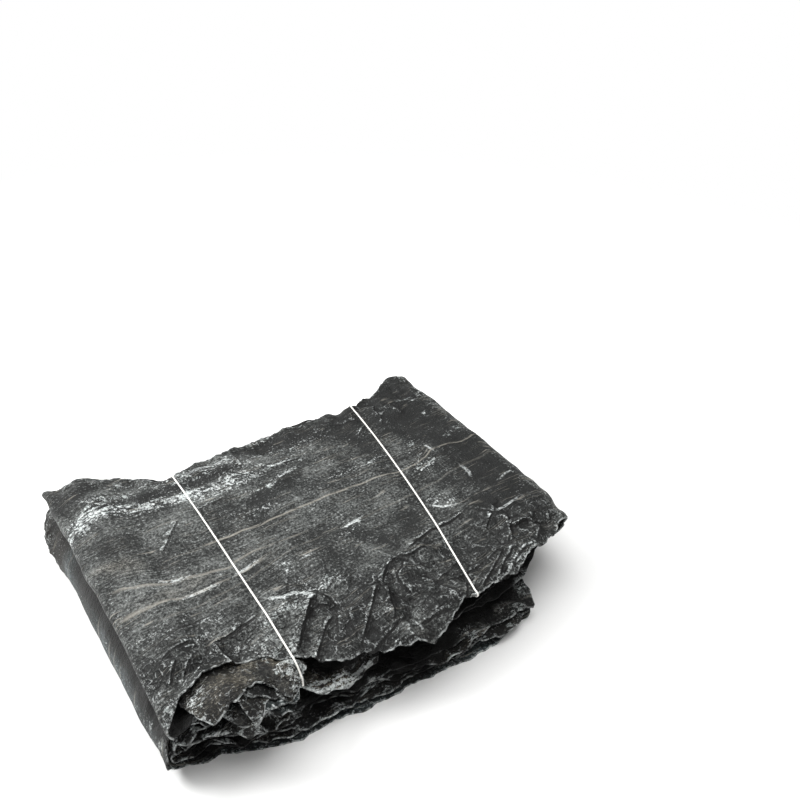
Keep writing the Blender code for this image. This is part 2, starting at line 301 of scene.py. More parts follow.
def presence(sheet, x, y):
    """1 where a sheet lies, less past its margins and past the top layer's left end."""
    past = np.maximum(np.maximum(packed_front(sheet, x) - y, y - packed_back(sheet, x)), 0.0)
    here = 1.0 - MARGIN_SINK * ease(SINK_START, SINK_END, past)
    if layer_of(sheet) == LAYER_COUNT - 1:
        here = here * (1.0 - ease(0.0, END_FALL, END_FALL_START - x))
    return here


def front_rim(sheet, x, y):
    return 1.0 - ease(0.0, FRILL_WIDTH, y - packed_front(sheet, x))


def back_rim(sheet, x, y):
    return 1.0 - ease(0.0, FRILL_WIDTH, packed_back(sheet, x) - y)


def pitch(sheet, x, y):
    """Distance from a sheet up to the next one."""
    layer = layer_of(sheet)
    body = LAYER_PITCH[layer] + BODY_FLUFF * wave(x, y, BODY_WAVE_LENGTH, sheet)
    if layer < LAYER_COUNT - 1:
        body = body * (1.0 + FOLD_SWELL * ease(FOLD_START_LEFT + SWELL_LENGTH, FOLD_START_LEFT, x))
    front, back = front_rim(sheet, x, y), back_rim(sheet, x, y)
    frill = wave(x, y, FRILL_WAVE_LENGTH, sheet + 80)
    bulk = 1.0 + LOBE_BULK * ease(LOBE_START, LOBE_FULL, x)
    pressed = PITCH_LEAST + FRILL_HEIGHT * bulk * frill
    step = body + (pressed - body) * front + BACK_FRILL_HEIGHT * back * (frill - BACK_FRILL_BIAS)
    return np.maximum(step, PITCH_LEAST)


# --------------------------------------------------------- sheets, finely laid
RUFFLE_LENGTHS = (31.0, 14.0)      # wave lengths of the margins' ruffles
RUFFLE_HEIGHT = 0.6                # share of the pitch that they may take or add
NEST_RUFFLE = 0.35                 # and how much more in the crumpled front left
PITCH_TIGHT = 1.2                  # closest that two sheets lie, middle to middle
STIR = 0.16                        # loose waves of the flat part, share of the pitch
FRONT_PRESS = 0.22                 # share by which the top layer's front is pressed
FRONT_START, FRONT_FULL = -62.0, -90.0
LOW_FACE = 0.5                     # lowest sheet's middle above the floor
LEFT_HOLD = 4.6                    # how far the top face's left end is held up
# Where the stack is loose: each pair is where that begins and where it is full.
LOOSE_FRONT, LOOSE_BACK = (-66.0, -104.0), (58.0, 88.0)
LOOSE_NEST = (-52.0, -84.0)
OFF_FLOOR, UNDER_TOP = (0.0, 9.0), (47.0, 40.0)
# Lobes pushed up at the front: X, half width, height, and their pairs in Y and Z.
LOBES = ((-70.0, 10.0, 7.5, (-99.0, -114.0), (6.0, 30.0)),
         (-122.0, 9.0, 4.0, (-96.0, -108.0), (20.0, 44.0)))
CORNER_REACH = 4.2                 # how far the back left corner sticks out


def fine_pitch(sheet, x, y):
    """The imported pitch, stirred by ruffles that never let two sheets meet."""
    base = pitch(sheet, x, y)
    if layer_of(sheet) == LAYER_COUNT - 1 and sheet < TOP_SHEET - 1:
        base = base * (1.0 - FRONT_PRESS * ease(FRONT_START, FRONT_FULL, y))
    rim = np.maximum(front_rim(sheet, x, y), back_rim(sheet, x, y))
    nest = ease(LOBE_START, LOBE_FULL, x) * front_rim(sheet, x, y)
    ruffle = (0.65 * ripple(x, 0.6 * y, RUFFLE_LENGTHS[0], 11 + sheet)
              + 0.45 * ripple(x + 3.0 * sheet, y, RUFFLE_LENGTHS[1], 41 + sheet))
    share = STIR + (RUFFLE_HEIGHT - STIR) * rim + NEST_RUFFLE * nest
    return np.maximum(base * (1.0 + share * ruffle), PITCH_TIGHT)


def fine_height(sheet, x, y):
    """Height of a sheet's middle surface above the floor."""
    height = np.full(np.shape(x), LOW_FACE)
    for below in range(sheet):
        height = height + fine_pitch(below, x, y) * presence(below, x, y)
        if below == BLADE_COUNT - 1:
            gape = front_rim(BLADE_COUNT, x, y) * ease(GAPE_START, GAPE_FULL, x)
            height = height + SLOT_ABOVE_BOTTOM + FRONT_GAPE * gape
        elif below == 2 * BLADE_COUNT - 1:
            height = height + SLOT_ABOVE_MIDDLE
    if sheet == TOP_SHEET:
        height = height + LEFT_HOLD * ease(END_FALL_START - 4.0, END_FALL_START - END_FALL, x)
    return height


def stirred(points):
    """Moves every sheet by one shared field, so that neighbours never meet."""
    x, y, z = points[..., 0], points[..., 1], points[..., 2]
    front, back = ease(*LOOSE_FRONT, y), ease(*LOOSE_BACK, y)
    nest = front * ease(*LOOSE_NEST, x)
    under = ease(*UNDER_TOP, z)
    swell = (ripple(x + 0.9 * z, y - 0.5 * z, 19.0, 601)
             + ripple(x - 0.8 * z, y + 0.6 * z, 13.0, 602))
    sway = ripple(x + 0.8 * z, 0.5 * y - 0.9 * z, 17.0, 603)
    fold = dented((x + 0.7 * z, y - 0.6 * z, 12.0, 604), (x - 0.6 * z, y + 0.5 * z, 9.0, 614))
    tuck = crumple(x - 0.9 * z, y + 0.3 * z, 7.0, 624)
    rise = (0.5 * front + (0.7 * front + 1.4 * nest) * under + 0.8 * back) * (swell + 2.0 * fold)
    rise = rise + (0.5 * front + 2.4 * nest) * under * (tuck + 0.1)
    for place, half_width, height, across, up in LOBES:
        lobe = np.exp(-((x - place) / half_width) ** 2) * ease(*across, y) * ease(*up, z)
        rise = rise + height * lobe
    push = (1.6 * front * under + 1.8 * nest * under + 1.0 * back) * sway
    corner = ease(52.0, 74.0, y) * ease(-122.0, -138.0, x) * ease(49.0, 44.0, z)
    torn = 0.55 + 0.6 * ripple(y, z, 9.0, 605) + 0.35 * ripple(y, 2.0 * z, 4.5, 606)
    moved = points.copy()
    moved[..., 0] = x - CORNER_REACH * corner * torn * ease(4.0, 16.0, z)
    moved[..., 1] = y + push
    moved[..., 2] = z + rise * ease(*OFF_FLOOR, z)
    return moved


def front_margin(sheet, x):
    margin = packed_front(sheet, x) + ragged(FRONT_RAG, x, sheet)
    if sheet == TOP_SHEET:
        return margin
    draw = FREE_EDGE_DRAW * (0.5 + 0.5 * ripple(x, 0 * x + 7.0 * sheet, 24.0, 60 + sheet))
    return margin + draw + (through(MARGIN_DRAW[sheet], x) if sheet in MARGIN_DRAW else 0.0)


def back_margin(sheet, x):
    draw = FREE_EDGE_DRAW * (0.3 + 0.9 * ripple(x, 0 * x + 7.0 * sheet, 30.0, 150 + sheet))
    return packed_back(sheet, x) - draw + ragged(BACK_RAG, x, sheet)


# ---------------------------------------------------------- the top face's relief
# Each fold: height, reach on the right and on the left of its line as one walks
# along it, darkness of the painted shadow at its foot, and its line of (x, y) points.
FOLDS = (
    (0.9, 4.0, 0.7, 0.8, ((-131, -69), (-122, -65), (-112, -62), (-98, -60), (-88, -59))),
    (1.2, 0.8, 9.0, 0.9, ((-103, -77), (-97, -76.5), (-90, -76), (-80, -75), (-68, -73))),
    (0.9, 0.8, 5.0, 0.8, ((-123, -91), (-118, -85), (-112, -79))),
    (0.7, 0.7, 3.0, 0.6, ((-141, -77), (-136, -74.5), (-131, -75))),
    (0.8, 0.8, 3.5, 0.7, ((-131, -78), (-125, -74), (-118, -72), (-108, -70))),
    (1.0, 0.9, 3.0, 0.9, ((-131, -92), (-127, -86), (-122, -80))),
    (3.4, 16.0, 1.0, 1.0, ((-103, -78), (-99.5, -80), (-97.5, -88), (-95, -100))),
    (2.6, 1.0, 14.0, 1.0, ((-66, -106), (-60, -101), (-53, -93), (-46, -85), (-40, -78),
                           (-31, -75))),
    (1.0, 3.5, 7.0, 0.9, ((-47, -86.5), (-42, -83.5), (-36, -81.5), (-30, -84))),
    (0.9, 4.0, 5.0, 0.8, ((-33, -75), (-27, -80), (-26, -88))),
    (1.6, 1.0, 7.0, 0.8, ((-59, -115), (-52, -108), (-45, -101), (-38, -95), (-30, -90))),
    (1.2, 3.0, 1.2, 0.6, ((-36, -106), (-32, -98), (-29, -92))),
    (1.4, 4.0, 1.2, 0.6, ((-27, -112), (-26, -103), (-23, -91))),
    (1.8, 1.0, 8.0, 0.8, ((-31, -117), (-22, -110), (-12, -100), (-5, -92), (3, -84))),
    (2.0, 1.6, 6.0, 0.9, ((-4, -113), (0, -102), (4, -93), (6, -88))),
    (1.2, 1.0, 4.0, 0.8, ((-35, -123), (-33, -119), (-22, -120), (-10, -117), (5, -113))),
    (1.0, 1.0, 1.6, 0.6, ((-8, -131), (-8, -122))),
    (1.0, 1.0, 1.6, 0.6, ((-31, -128), (-31, -121))),
    (1.3, 0.8, 3.5, 0.9, ((30, -70.5), (37, -68), (45, -65.5), (55, -63), (70, -63),
                          (80, -60.5), (87, -58))),
    (1.2, 0.8, 2.2, 0.8, ((24, -70), (30, -73), (40, -72), (46, -71))),
    (2.2, 2.0, 7.0, 1.0, ((3, -87), (8, -81), (15, -76), (25, -73))),
    (1.8, 4.0, 2.0, 0.9, ((15, -106), (14, -95), (16, -86), (22, -83), (27, -76))),
    (2.0, 8.0, 1.4, 0.9, ((25, -94), (30, -99), (33, -105), (36, -115), (38, -122))),
    (0.9, 0.9, 4.0, 0.7, ((33, -101), (45, -96), (60, -90))),
    (1.0, 0.8, 6.0, 0.7, ((34, -103.5), (50, -103), (70, -100), (88, -97))),
    (0.9, 0.8, 5.0, 0.6, ((88, -58.5), (93, -62), (97, -67), (101, -71))),
    (0.8, 1.0, 2.0, 0.5, ((101, -70), (103, -64), (112, -62))),
    (0.8, 1.0, 2.0, 0.5, ((86, -79), (92, -75), (99, -70))),
    (0.8, 1.0, 2.0, 0.5, ((101, -71), (111, -70), (121, -68))),
    (0.9, 1.0, 2.5, 0.6, ((104, -86), (103, -78), (100, -71))),
    (3.2, 1.3, 6.0, 1.0, ((95, -97), (98, -90), (102, -83.5), (104.5, -87), (110, -85),
                          (116, -85.5), (121, -91))),
    (2.2, 1.0, 5.0, 0.9, ((111, -101), (117, -96), (122, -91.5))),
    (1.6, 1.0, 4.0, 0.9, ((52, -119), (68, -110), (80, -102.5), (90, -94))),
    (1.6, 1.0, 3.0, 0.8, ((68, -116), (80, -107.5), (95, -98))),
    (1.3, 1.0, 2.5, 0.7, ((76, -117), (88, -108), (104, -101))),
    (1.3, 1.0, 2.5, 0.7, ((58, -122), (70, -117), (84, -113))),
    (1.4, 1.0, 3.0, 0.8, ((130, -92), (132, -88), (136, -89), (146, -86))),
    (1.0, 0.9, 2.0, 0.6, ((131, -91), (134, -84))),
    (1.2, 1.0, 3.0, 0.8, ((34, -129), (40, -121), (46, -114), (50, -107))),
    (1.0, 1.0, 3.0, 0.7, ((8, -120), (18, -121), (30, -122))),
    (1.1, 1.4, 2.8, 0.6, ((-98, 3), (-92, 10), (-84, 20), (-76, 30))),
    (0.7, 0.8, 2.5, 0.7, ((-107, 58), (-101, 56), (-95, 53))),
    (0.6, 0.8, 3.0, 0.6, ((-64, 32), (-50, 34), (-40, 35))),
    (0.8, 1.2, 4.0, 0.3, ((-15, 25), (-5, 31), (5, 36), (20, 40))),
    (0.8, 0.9, 3.5, 0.3, ((-12, 56), (0, 48), (10, 49), (25, 49))),
    (0.9, 0.8, 5.0, 0.6, ((-17, 60), (-17, 68), (-19, 80))),
    (0.9, 0.9, 3.0, 0.7, ((62, 71), (70, 68), (80, 67))),
    (1.2, 1.2, 4.0, 0.7, ((92, 52), (95, 60), (94, 68), (98, 76))),
    (1.0, 1.0, 3.0, 0.6, ((70, 50), (76, 56), (84, 60))),
    (1.4, 1.6, 5.0, 0.8, ((114, 58), (111, 64), (109, 72))),
    (0.8, 1.2, 3.0, 0.4, ((99, 68), (112, 72), (125, 70), (140, 75))),
    (1.6, 5.0, 2.0, 0.6, ((147, 74), (145, 86), (142, 97))),
    (0.9, 0.9, 3.0, 0.7, ((-131, 101), (-120, 94), (-110, 88))),
    (0.8, 0.8, 1.2, 0.2, ((126, -44), (135, -41), (143, -39), (152, -38))),
    (0.7, 0.9, 3.0, 0.4, ((-50, -68), (-43, -56), (-36, -44))),
    (0.6, 0.8, 2.0, 0.4, ((-22, -69), (-20, -60), (-16, -50))),
)
FOLD_END = 0.16                    # share of a fold's length where it dies away
FOLD_GAIN = 1.5                    # one gain over all those heights
FOLD_STEEP = 1.5                   # least reach of a fold's side
FOLD_GENTLE = 1.7                  # gain over the reach of its gentler side
FOLD_ROUND = 0.6                   # rounding of its ridge
FOOT_AWAY = 0.9                    # from the ridge to the foot of its steep side
LIFT_START, LIFT_FULL = -62.0, -88.0   # Y from where the front is crushed
STAND_HEIGHT, STAND_REACH = 3.2, 11.0  # the front margin's middle stands up a little
FAR_AWAY = 9.0                     # distance given where no line is near

# Soft pale bloom: strength, half width and line of points.
BLOOM = (
    (0.80, 7.0, ((-143, 46), (-132, 52), (-118, 58), (-100, 54), (-80, 51), (-60, 50),
                 (-35, 51), (-18, 52))),
    (0.55, 2.6, ((-62, 42), (-48, 40), (-34, 42), (-20, 44), (0, 48), (12, 48))),
    (0.6, 6.0, ((-132, 54), (-120, 63), (-112, 62))),
    (0.5, 4.0, ((-124, 75), (-112, 70), (-96, 68))),
    (0.45, 1.5, ((-58, 71), (-40, 73), (-22, 71))),
    (0.42, 8.0, ((-58, 68), (-20, 68), (20, 62), (46, 66))),
    (0.7, 2.4, ((2, 85), (20, 87), (34, 88), (50, 88))),
    (0.35, 9.0, ((-96, 80), (-80, 74), (-66, 70))),
    (0.45, 2.2, ((-30, 34), (-15, 29), (-2, 34), (14, 39))),
    (0.75, 1.6, ((-58, -65), (-52, -68), (-45, -68), (-40, -72), (-38, -77))),
    (0.5, 6.5, ((-62, -78), (-52, -75), (-44, -76))),
    (0.6, 3.2, ((-38, -60), (-35, -68), (-28, -72), (-20, -67), (-14, -70))),
    (0.45, 4.0, ((-70, -82), (-74, -92), (-66, -98))),
    (0.5, 3.2, ((-112, -73), (-98, -68), (-86, -60))),
    (0.35, 4.0, ((-134, -58), (-120, -56), (-108, -56))),
    (0.35, 5.0, ((-142, -80), (-140, -95), (-136, -108))),
    (0.45, 3.0, ((-90, -84), (-80, -90), (-74, -98))),
    (0.8, 1.3, ((-100, -37.5), (-88, -38), (-80, -37.5))),
    (0.7, 1.5, ((-66, -35), (-56, -32), (-50, -30))),
    (0.55, 1.4, ((-108, -17), (-98, -21), (-92, -22))),
    (0.6, 2.0, ((-38, -41), (-35, -44))),
    (0.5, 1.0, ((-27, -44.5), (-19, -42.5))),
    (0.85, 1.5, ((12, -31), (17, -30), (23, -29))),
    (0.4, 2.5, ((4, -36), (13, -38), (22, -34))),
    (0.4, 6.0, ((99, 24), (95, 12), (90, 0), (88, -6))),
    (0.55, 2.6, ((86, -6), (93, -6), (100, -2))),
    (0.5, 5.0, ((70, -40), (78, -44), (86, -47))),
    (0.75, 1.3, ((70, -42), (76, -48), (83, -50))),
    (1.0, 0.9, ((126, -44), (135, -41), (143, -39), (152, -38))),
    (0.6, 1.8, ((135, -53), (145, -49))),
    (0.5, 2.6, ((122, 17), (132, 20), (146, 23))),
    (0.7, 1.2, ((104, 14), (104.5, 6))),
    (0.6, 1.6, ((112, -18), (113, -25), (111, -31))),
    (0.75, 1.4, ((106, -70), (114, -69), (122, -66.5))),
    (0.6, 2.0, ((96, -71), (101, -70), (107, -72))),
    (0.5, 2.2, ((127, -61), (134, -57))),
    (0.6, 1.6, ((144, -71), (148, -65))),
    (0.6, 5.0, ((62, -122), (76, -116), (92, -108), (106, -102))),
    (0.5, 3.0, ((-30, -124), (-16, -126), (-4, -128))),
    (0.9, 1.3, ((127, 49), (127.5, 49.8))),
    (0.8, 1.2, ((136, 72), (136.5, 73))),
    (0.7, 1.2, ((128.5, 68), (129.5, 68))),
    (0.7, 1.4, ((96, 64), (98, 64.5))),
    (0.5, 2.2, ((20, 46), (26, 50))),
    (0.7, 1.0, ((6, -119), (8, -123))),
    (0.45, 3.5, ((30, 16), (42, 17), (58, 17), (72, 19))),
    (0.35, 6.0, ((-50, 15), (-35, 12), (-20, 14))),
)

# Darker and browner parts, in the same way.
DARK = (
    (0.7, 28.0, ((110, 80), (126, 20), (122, -56))),
    (0.38, 26.0, ((-20, -104), (30, -98), (80, -92), (120, -80))),
    (0.45, 22.0, ((20, 78), (60, 74), (120, 90))),
    (0.55, 5.0, ((-88, 62), (-62, 61), (-40, 63), (-20, 64))),
    (0.35, 7.0, ((-128, 84), (-138, 88), (-136, 72))),
    (0.4, 9.0, ((0, 72), (25, 70), (48, 66))),
    (0.4, 9.0, ((-16, 74), (5, 78), (30, 76))),
    (0.35, 7.0, ((112, 2), (120, -6), (118, 14))),
    (0.35, 6.0, ((150, 70), (150, 30), (151, -10))),
    (0.3, 8.0, ((122, -22), (128, -30), (120, -44))),
    (0.35, 5.0, ((20, -104), (26, -112), (16, -118))),
    (0.5, 4.0, ((-1, -106), (2, -98), (5, -92))),
    (0.45, 3.5, ((13, -78), (24, -75))),
    (0.3, 9.0, ((-120, 18), (-122, 28), (-112, 24))),
    (0.3, 10.0, ((40, -50), (55, -44), (30, -58))),
    (0.3, 7.0, ((96, 40), (110, 36), (122, 34))),
)
BROWN = (
    (0.55, 14.0, ((-132, 8), (-110, 4), (-90, -2))),
    (0.9, 4.0, ((2, 85), (20, 87), (34, 88), (50, 88))),
    (0.45, 14.0, ((-130, -28), (-110, -34), (-85, -32))),
    (0.7, 8.0, ((-118, -92), (-108, -88), (-101, -84))),
    (0.4, 14.0, ((110, 44), (128, 38), (142, 40))),
    (0.45, 10.0, ((96, 22), (92, 10), (88, 2))),
    (0.4, 10.0, ((130, -30), (140, -22), (132, -10))),
    (0.35, 12.0, ((-60, 4), (-20, 2), (20, 4))),
    (0.4, 6.0, ((92, 46), (100, 44), (112, 40))),
    (0.6, 5.0, ((-134, 92), (-130, 84), (-136, 76))),
    (0.5, 8.0, ((60, -110), (80, -106), (96, -104))),
    (0.5, 6.0, ((-26, -124), (-10, -127), (10, -128))),
    (0.35, 12.0, ((10, 28), (40, 26), (70, 32))),
)

# Ribs of the top face: grain line that each is drawn on, and its (x, y) points.
RIBS = (
    (-135, ((-150, -140), (152, -140))),
    (-78, ((-150, -86), (-110, -81), (-68, -78), (-20, -78), (0, -74), (20, -74), (60, -78),
           (152, -78))),
    (-36, ((-150, -53), (-112, -49), (-95, -47), (-80, -45), (-65, -43), (-50, -38), (-38, -34),
           (-25, -32), (5, -30), (45, -27.5), (65, -26), (85, -23), (105, -18), (125, -16.5),
           (152, -13))),
    (-28, ((-150, -38), (-130, -36), (-115, -36), (-100, -37.5), (-88, -38), (-75, -37),
           (-60, -34), (-50, -31), (-40, -28.5), (-20, -27.5), (5, -26), (65, -21), (152, -7))),
    (-20, ((-150, -11), (-130, -13), (-120, -17), (-108, -20), (-95, -22), (-80, -25),
           (-68, -27), (-60, -23.5), (-48, -22), (-35, -23), (-18, -23.5), (0, -21), (65, -14),
           (152, -1))),
    (0, ((-150, 2), (-100, 1), (-60, -1.5), (-40, -2), (-20, 0), (10, 1), (60, 1), (72, -1.5),
         (85, 0), (95, 2), (105, 6.5), (118, 7), (130, 5), (152, 8))),
    (32, ((-150, 28), (-62, 31), (0, 32), (25, 34), (45, 35), (75, 38), (152, 46))),
    (45, ((-150, 42), (-120, 49), (-95, 48), (-62, 43), (-30, 42), (0, 42), (48, 43), (70, 46),
          (95, 50), (110, 52), (125, 55), (152, 61))),
    (56, ((-150, 52), (-118, 62), (-80, 57), (-35, 57), (-10, 53), (25, 52), (60, 55), (90, 61),
          (152, 70))),
    (110, ((-150, 112), (152, 112))),
)
# Where along X each of them shows: grain line, start, end, strength.
RIB_SPANS = ((-78, -112, 22, 0.6), (-36, -118, 150, 1.0), (-28, -136, -46, 0.9),
             (-20, -132, -12, 0.7), (0, -70, 150, 0.8), (32, -30, 78, 0.45), (45, 40, 150, 0.8),
             (56, -20, 30, 0.4))
PLAIN_RIBS = (-96.0, -61.0, -36.0, -28.0, -20.0, 0.0, 32.0, 45.0, 56.0, 78.0)
RIB_HALF_WIDTH = 0.42
THIN_STROKE = 1.7                  # bloom strokes up to this half width are crisp
GRAIN_SPAN = 150.0                 # grain lines run from -this to +this


def drawn(marks, x, y):
    """Soft strokes laid over each other, never more than their own strength."""
    left = np.ones(np.shape(x))
    for strength, width, points in marks:
        away, share = beside(points, x, y)
        left = left * (1.0 - strength * np.exp(-(away / width) ** 2))
    return 1.0 - left


def thin_strokes(marks, x, y):
    """Distance in half widths to the nearest of the narrow strokes, and its strength."""
    nearest = np.full(np.shape(x), FAR_AWAY)
    strength = np.zeros(np.shape(x))
    for most, width, points in marks:
        if width > THIN_STROKE:
            continue
        away, share = beside(points, x, y)
        dying = ease(0.0, 0.25, share) * ease(1.0, 0.75, share)
        closer = np.abs(away / width) < np.abs(nearest)
        nearest = np.where(closer, away / width, nearest)
        strength = np.where(closer, (0.4 + 0.6 * dying) * most * ease(3.5, 2.5, np.abs(nearest)),
                            strength)
    return nearest, strength


def top_relief(x, y):
    """Height that the top face has over the stacked sheet, the distance to the
    nearest fold's foot, with its sign, and how dark the painted shadow at that foot is."""
    rise = np.zeros(np.shape(x))
    nearest = np.full(np.shape(x), FAR_AWAY)
    line = np.zeros(np.shape(x))
    for height, right, left, dark, points in FOLDS:
        away, share = beside(points, x, y)
        dying = ease(0.0, FOLD_END, share) * ease(1.0, 1.0 - FOLD_END, share)
        reach = np.where(away < 0, right, left)
        reach = np.where(reach > min(right, left), FOLD_GENTLE * reach, reach)
        reach = np.maximum(reach, FOLD_STEEP)
        bent = np.sqrt(away * away + FOLD_ROUND ** 2) - FOLD_ROUND
        rise = rise + FOLD_GAIN * height * dying * np.exp(-bent / reach)
        steep = 1.0 if left < right else -1.0
        foot = away * steep - FOOT_AWAY
        closer = (np.abs(foot) + 2.0 * (1.0 - dying)) < np.abs(nearest)
        nearest = np.where(closer, foot, nearest)
        # strength of the painted shadow at the fold's foot, also of the painted highlight on its
        # ridge
        line = np.where(closer, min(1.0, dark + 0.15) * dying * ease(3.6, 2.4, np.abs(foot)), line)
    # crushed most at the front and the right end's front, less along the back
    near = np.maximum(ease(LIFT_START, LIFT_FULL, y),
                      ease(88.0, 112.0, x) * ease(-48.0, -66.0, y))
    far = ease(-26.0, -4.0, y - packed_back(TOP_SHEET, x))
    big = dented((x + 0.4 * y, y - 0.3 * x, 24.0, 301), (x - 0.5 * y, y, 20.0, 311))
    small = dented((x, y + 0.2 * x, 10.0, 321), (x + 0.3 * y, y, 8.0, 331))
    fine = dented((x - 0.2 * y, y, 5.0, 361), (x + 0.3 * y, y, 4.2, 371))
    rise = rise + (0.2 + 3.4 * near + 1.2 * far) * big
    rise = rise + (0.08 + 1.15 * near + 0.7 * far) * small + (0.55 * near + 0.5 * far) * fine
    rise = rise + 0.5 * ripple(0.5 * x, y, 21.0, 341) + 0.3 * ripple(0.35 * x, y, 7.0, 342)
    curl = ripple(x, 0 * x, 26.0, 351)
    inward = np.maximum(y - packed_front(TOP_SHEET, x), 0.0)
    rise = rise + np.exp(-inward / 5.0) * (0.4 + 1.6 * curl) * ease(-62.0, -40.0, x)
    stand = STAND_HEIGHT * ease(-56.0, -40.0, x) * ease(64.0, 30.0, x)
    rise = rise + stand * np.exp(-(inward / STAND_REACH) ** 2)
    return np.maximum(rise, -0.35 - 1.6 * near), nearest, line


def top_grain(x, y):
    """Grain line at each point: ribs lie on fixed lines, and the rest runs between."""
    grain = np.zeros(np.shape(x))
    lines = [(line, through(points, x)) for line, points in RIBS]
    for (low_line, low), (high_line, high) in zip(lines, lines[1:]):
        share = np.clip((y - low) / (high - low), 0.0, 1.0)
        inside = y >= low
        grain = np.where(inside, low_line + (high_line - low_line) * share, grain)
    return np.where(y < lines[0][1], lines[0][0], grain)


def top_rib_strength(x, grain):
    strength = np.zeros(np.shape(x))
    for line, start, end, most in RIB_SPANS:
        here = ease(start - 6.0, start + 6.0, x) * ease(end + 6.0, end - 6.0, x)
        strength = np.maximum(strength, most * here * np.exp(-((grain - line) / 3.0) ** 2))
    return strength


# -------------------------------------------------------------------- blades
def run(start, end, fine, coarse, fine_until):
    """X places from start to end, closer together on the left of fine_until."""
    low, high = min(start, end), max(start, end)
    places = [low]
    while places[-1] < high:
        share = ease(fine_until - STEP_BLEND, fine_until + STEP_BLEND, np.float64(places[-1]))
        places.append(places[-1] + fine + (coarse - fine) * float(share))
    places[-1] = high
    if places[-1] - places[-2] < 0.4 * fine:
        del places[-2]
    return np.array(places if start < end else places[::-1])


# Row spacing (fine, coarse, end of the fine part) in the top, middle and bottom
# layer, and columns (count, reach in mm) at the front, between and at the back.
GRID = {
    0: (((0.95, 0.95, 0), (3.4, 4.6, -60), (2.2, 2.4, 0)), (66, 56.0), 58, (14, 22.0)),
    1: (((1.3, 2.8, -52), (1.5, 2.6, -55), (2.2, 2.2, 0)), (34, 36.0), 14, (13, 18.0)),
    2: (((1.3, 2.8, -52), (1.5, 2.6, -55), (2.2, 2.2, 0)), (34, 36.0), 14, (13, 18.0)),
    3: (((1.3, 2.8, -52), (1.5, 2.0, -55), (2.2, 2.2, 0)), (34, 36.0), 14, (13, 18.0)),
    4: (((1.3, 2.8, -52), (1.5, 2.6, -55), (2.2, 2.4, 0)), (34, 36.0), 50, (16, 20.0)),
}
CROWDING = 1.25                    # power that crowds the columns towards a margin
STEP_BLEND = 12.0                  # either side of where row spacing turns coarser
MOST_FACES = 96000                 # triangles of one side of a blade
SPARE_FIRST = 8.0                  # how much sooner faces past the top face are given up
ROLL_LENGTH = 9.6                  # of the top face's left end, rolled under
ROLL_RADIUS = 3.3
ROLL_X = -137.6
FOLD_STEPS = 20
END_LENGTH = 16.0                  # of a blade's end that is rounded and ragged
END_ROUND = 13.0
END_PULL = 2.0                     # how far that end is drawn in
CAVITY_SHADE_START, CAVITY_SHADE_FULL = 1.5, 11.0    # depth under the margins above at which the painted shade begins and is full
NEST_OPEN = 12.0                   # how much further light gets in at the front left
RIM_REACH = 14.0                   # how far in the crumpling of the margins goes
CRUSH_INSIDE = 0.10                # share of it on the flat part
ROOM_SHARE = 0.46                  # of the gap to the next sheet that a dent may take
RELIEF_SCALE = 0.35                # height over its surroundings that counts as a full ridge
RIB_FADE, GRAIN_FADE = 20.0, 30.0  # past the top face, along the blade
PATCH_BLADE = 3                    # its margin is made pale brown beside the left thread, partly its own colour and partly painted light
# Colour marks kept on each point; some are painted light: shade in valleys and under the margins
# above, a shadow at each fold's foot, a highlight on its ridge, and paler ridges.
FINISH = ("bloom", "crease", "rib", "brown", "crushed", "line", "strokes", "dark", "shade",
          "foot", "rim", "stroke")


def columns(blade, front, back):
    """Y of every column for rows whose margins are front and back."""
    (front_count, front_reach), middle, (back_count, back_reach) = GRID[blade][1:]
    near = front_reach * (np.arange(front_count) / front_count) ** CROWDING
    far = back_reach * (np.arange(back_count) / back_count) ** CROWDING
    between = np.linspace(0.0, 1.0, middle + 1)
    y_front = front[:, None] + near[None, :]
    y_back = back[:, None] - far[None, ::-1]
    low, high = front[:, None] + front_reach, back[:, None] - back_reach
    return np.concatenate([y_front, low + (high - low) * between[None, :], y_back], axis=1)


def flat_rows(blade, sheet, xs):
    """A sheet's points, with their distances to its margins and to its neighbours."""
    front, back = front_margin(sheet, xs), back_margin(sheet, xs)
    end = {0: LOWER_END[blade], 2: UPPER_END[blade]}.get(layer_of(sheet))
    if end is not None and sheet != TOP_SHEET:
        closeness = ease(END_LENGTH, 0.0, np.abs(xs - end))
        rounding = END_ROUND * (1.0 - np.sqrt(np.maximum(1.0 - closeness ** 2, 0.0)))
        front, back = front + rounding, back - rounding
    y = columns(blade, front, back)
    x = np.repeat(xs[:, None], y.shape[1], axis=1)
    if end is not None and sheet != TOP_SHEET:
        torn = ragged(END_RAG, y, sheet)
        x = x + closeness[:, None] * (torn - math.copysign(END_PULL, end))
    return {"x": x, "y": y, "z": fine_height(sheet, np.maximum(x, ROLL_X), y), "sheet": sheet,
            "in_front": y - front[:, None], "in_back": back[:, None] - y,
            "to_next": fine_pitch(sheet, x, y),
            "to_last": fine_pitch(sheet - 1, x, y) if sheet else np.full(x.shape, PITCH_TIGHT)}


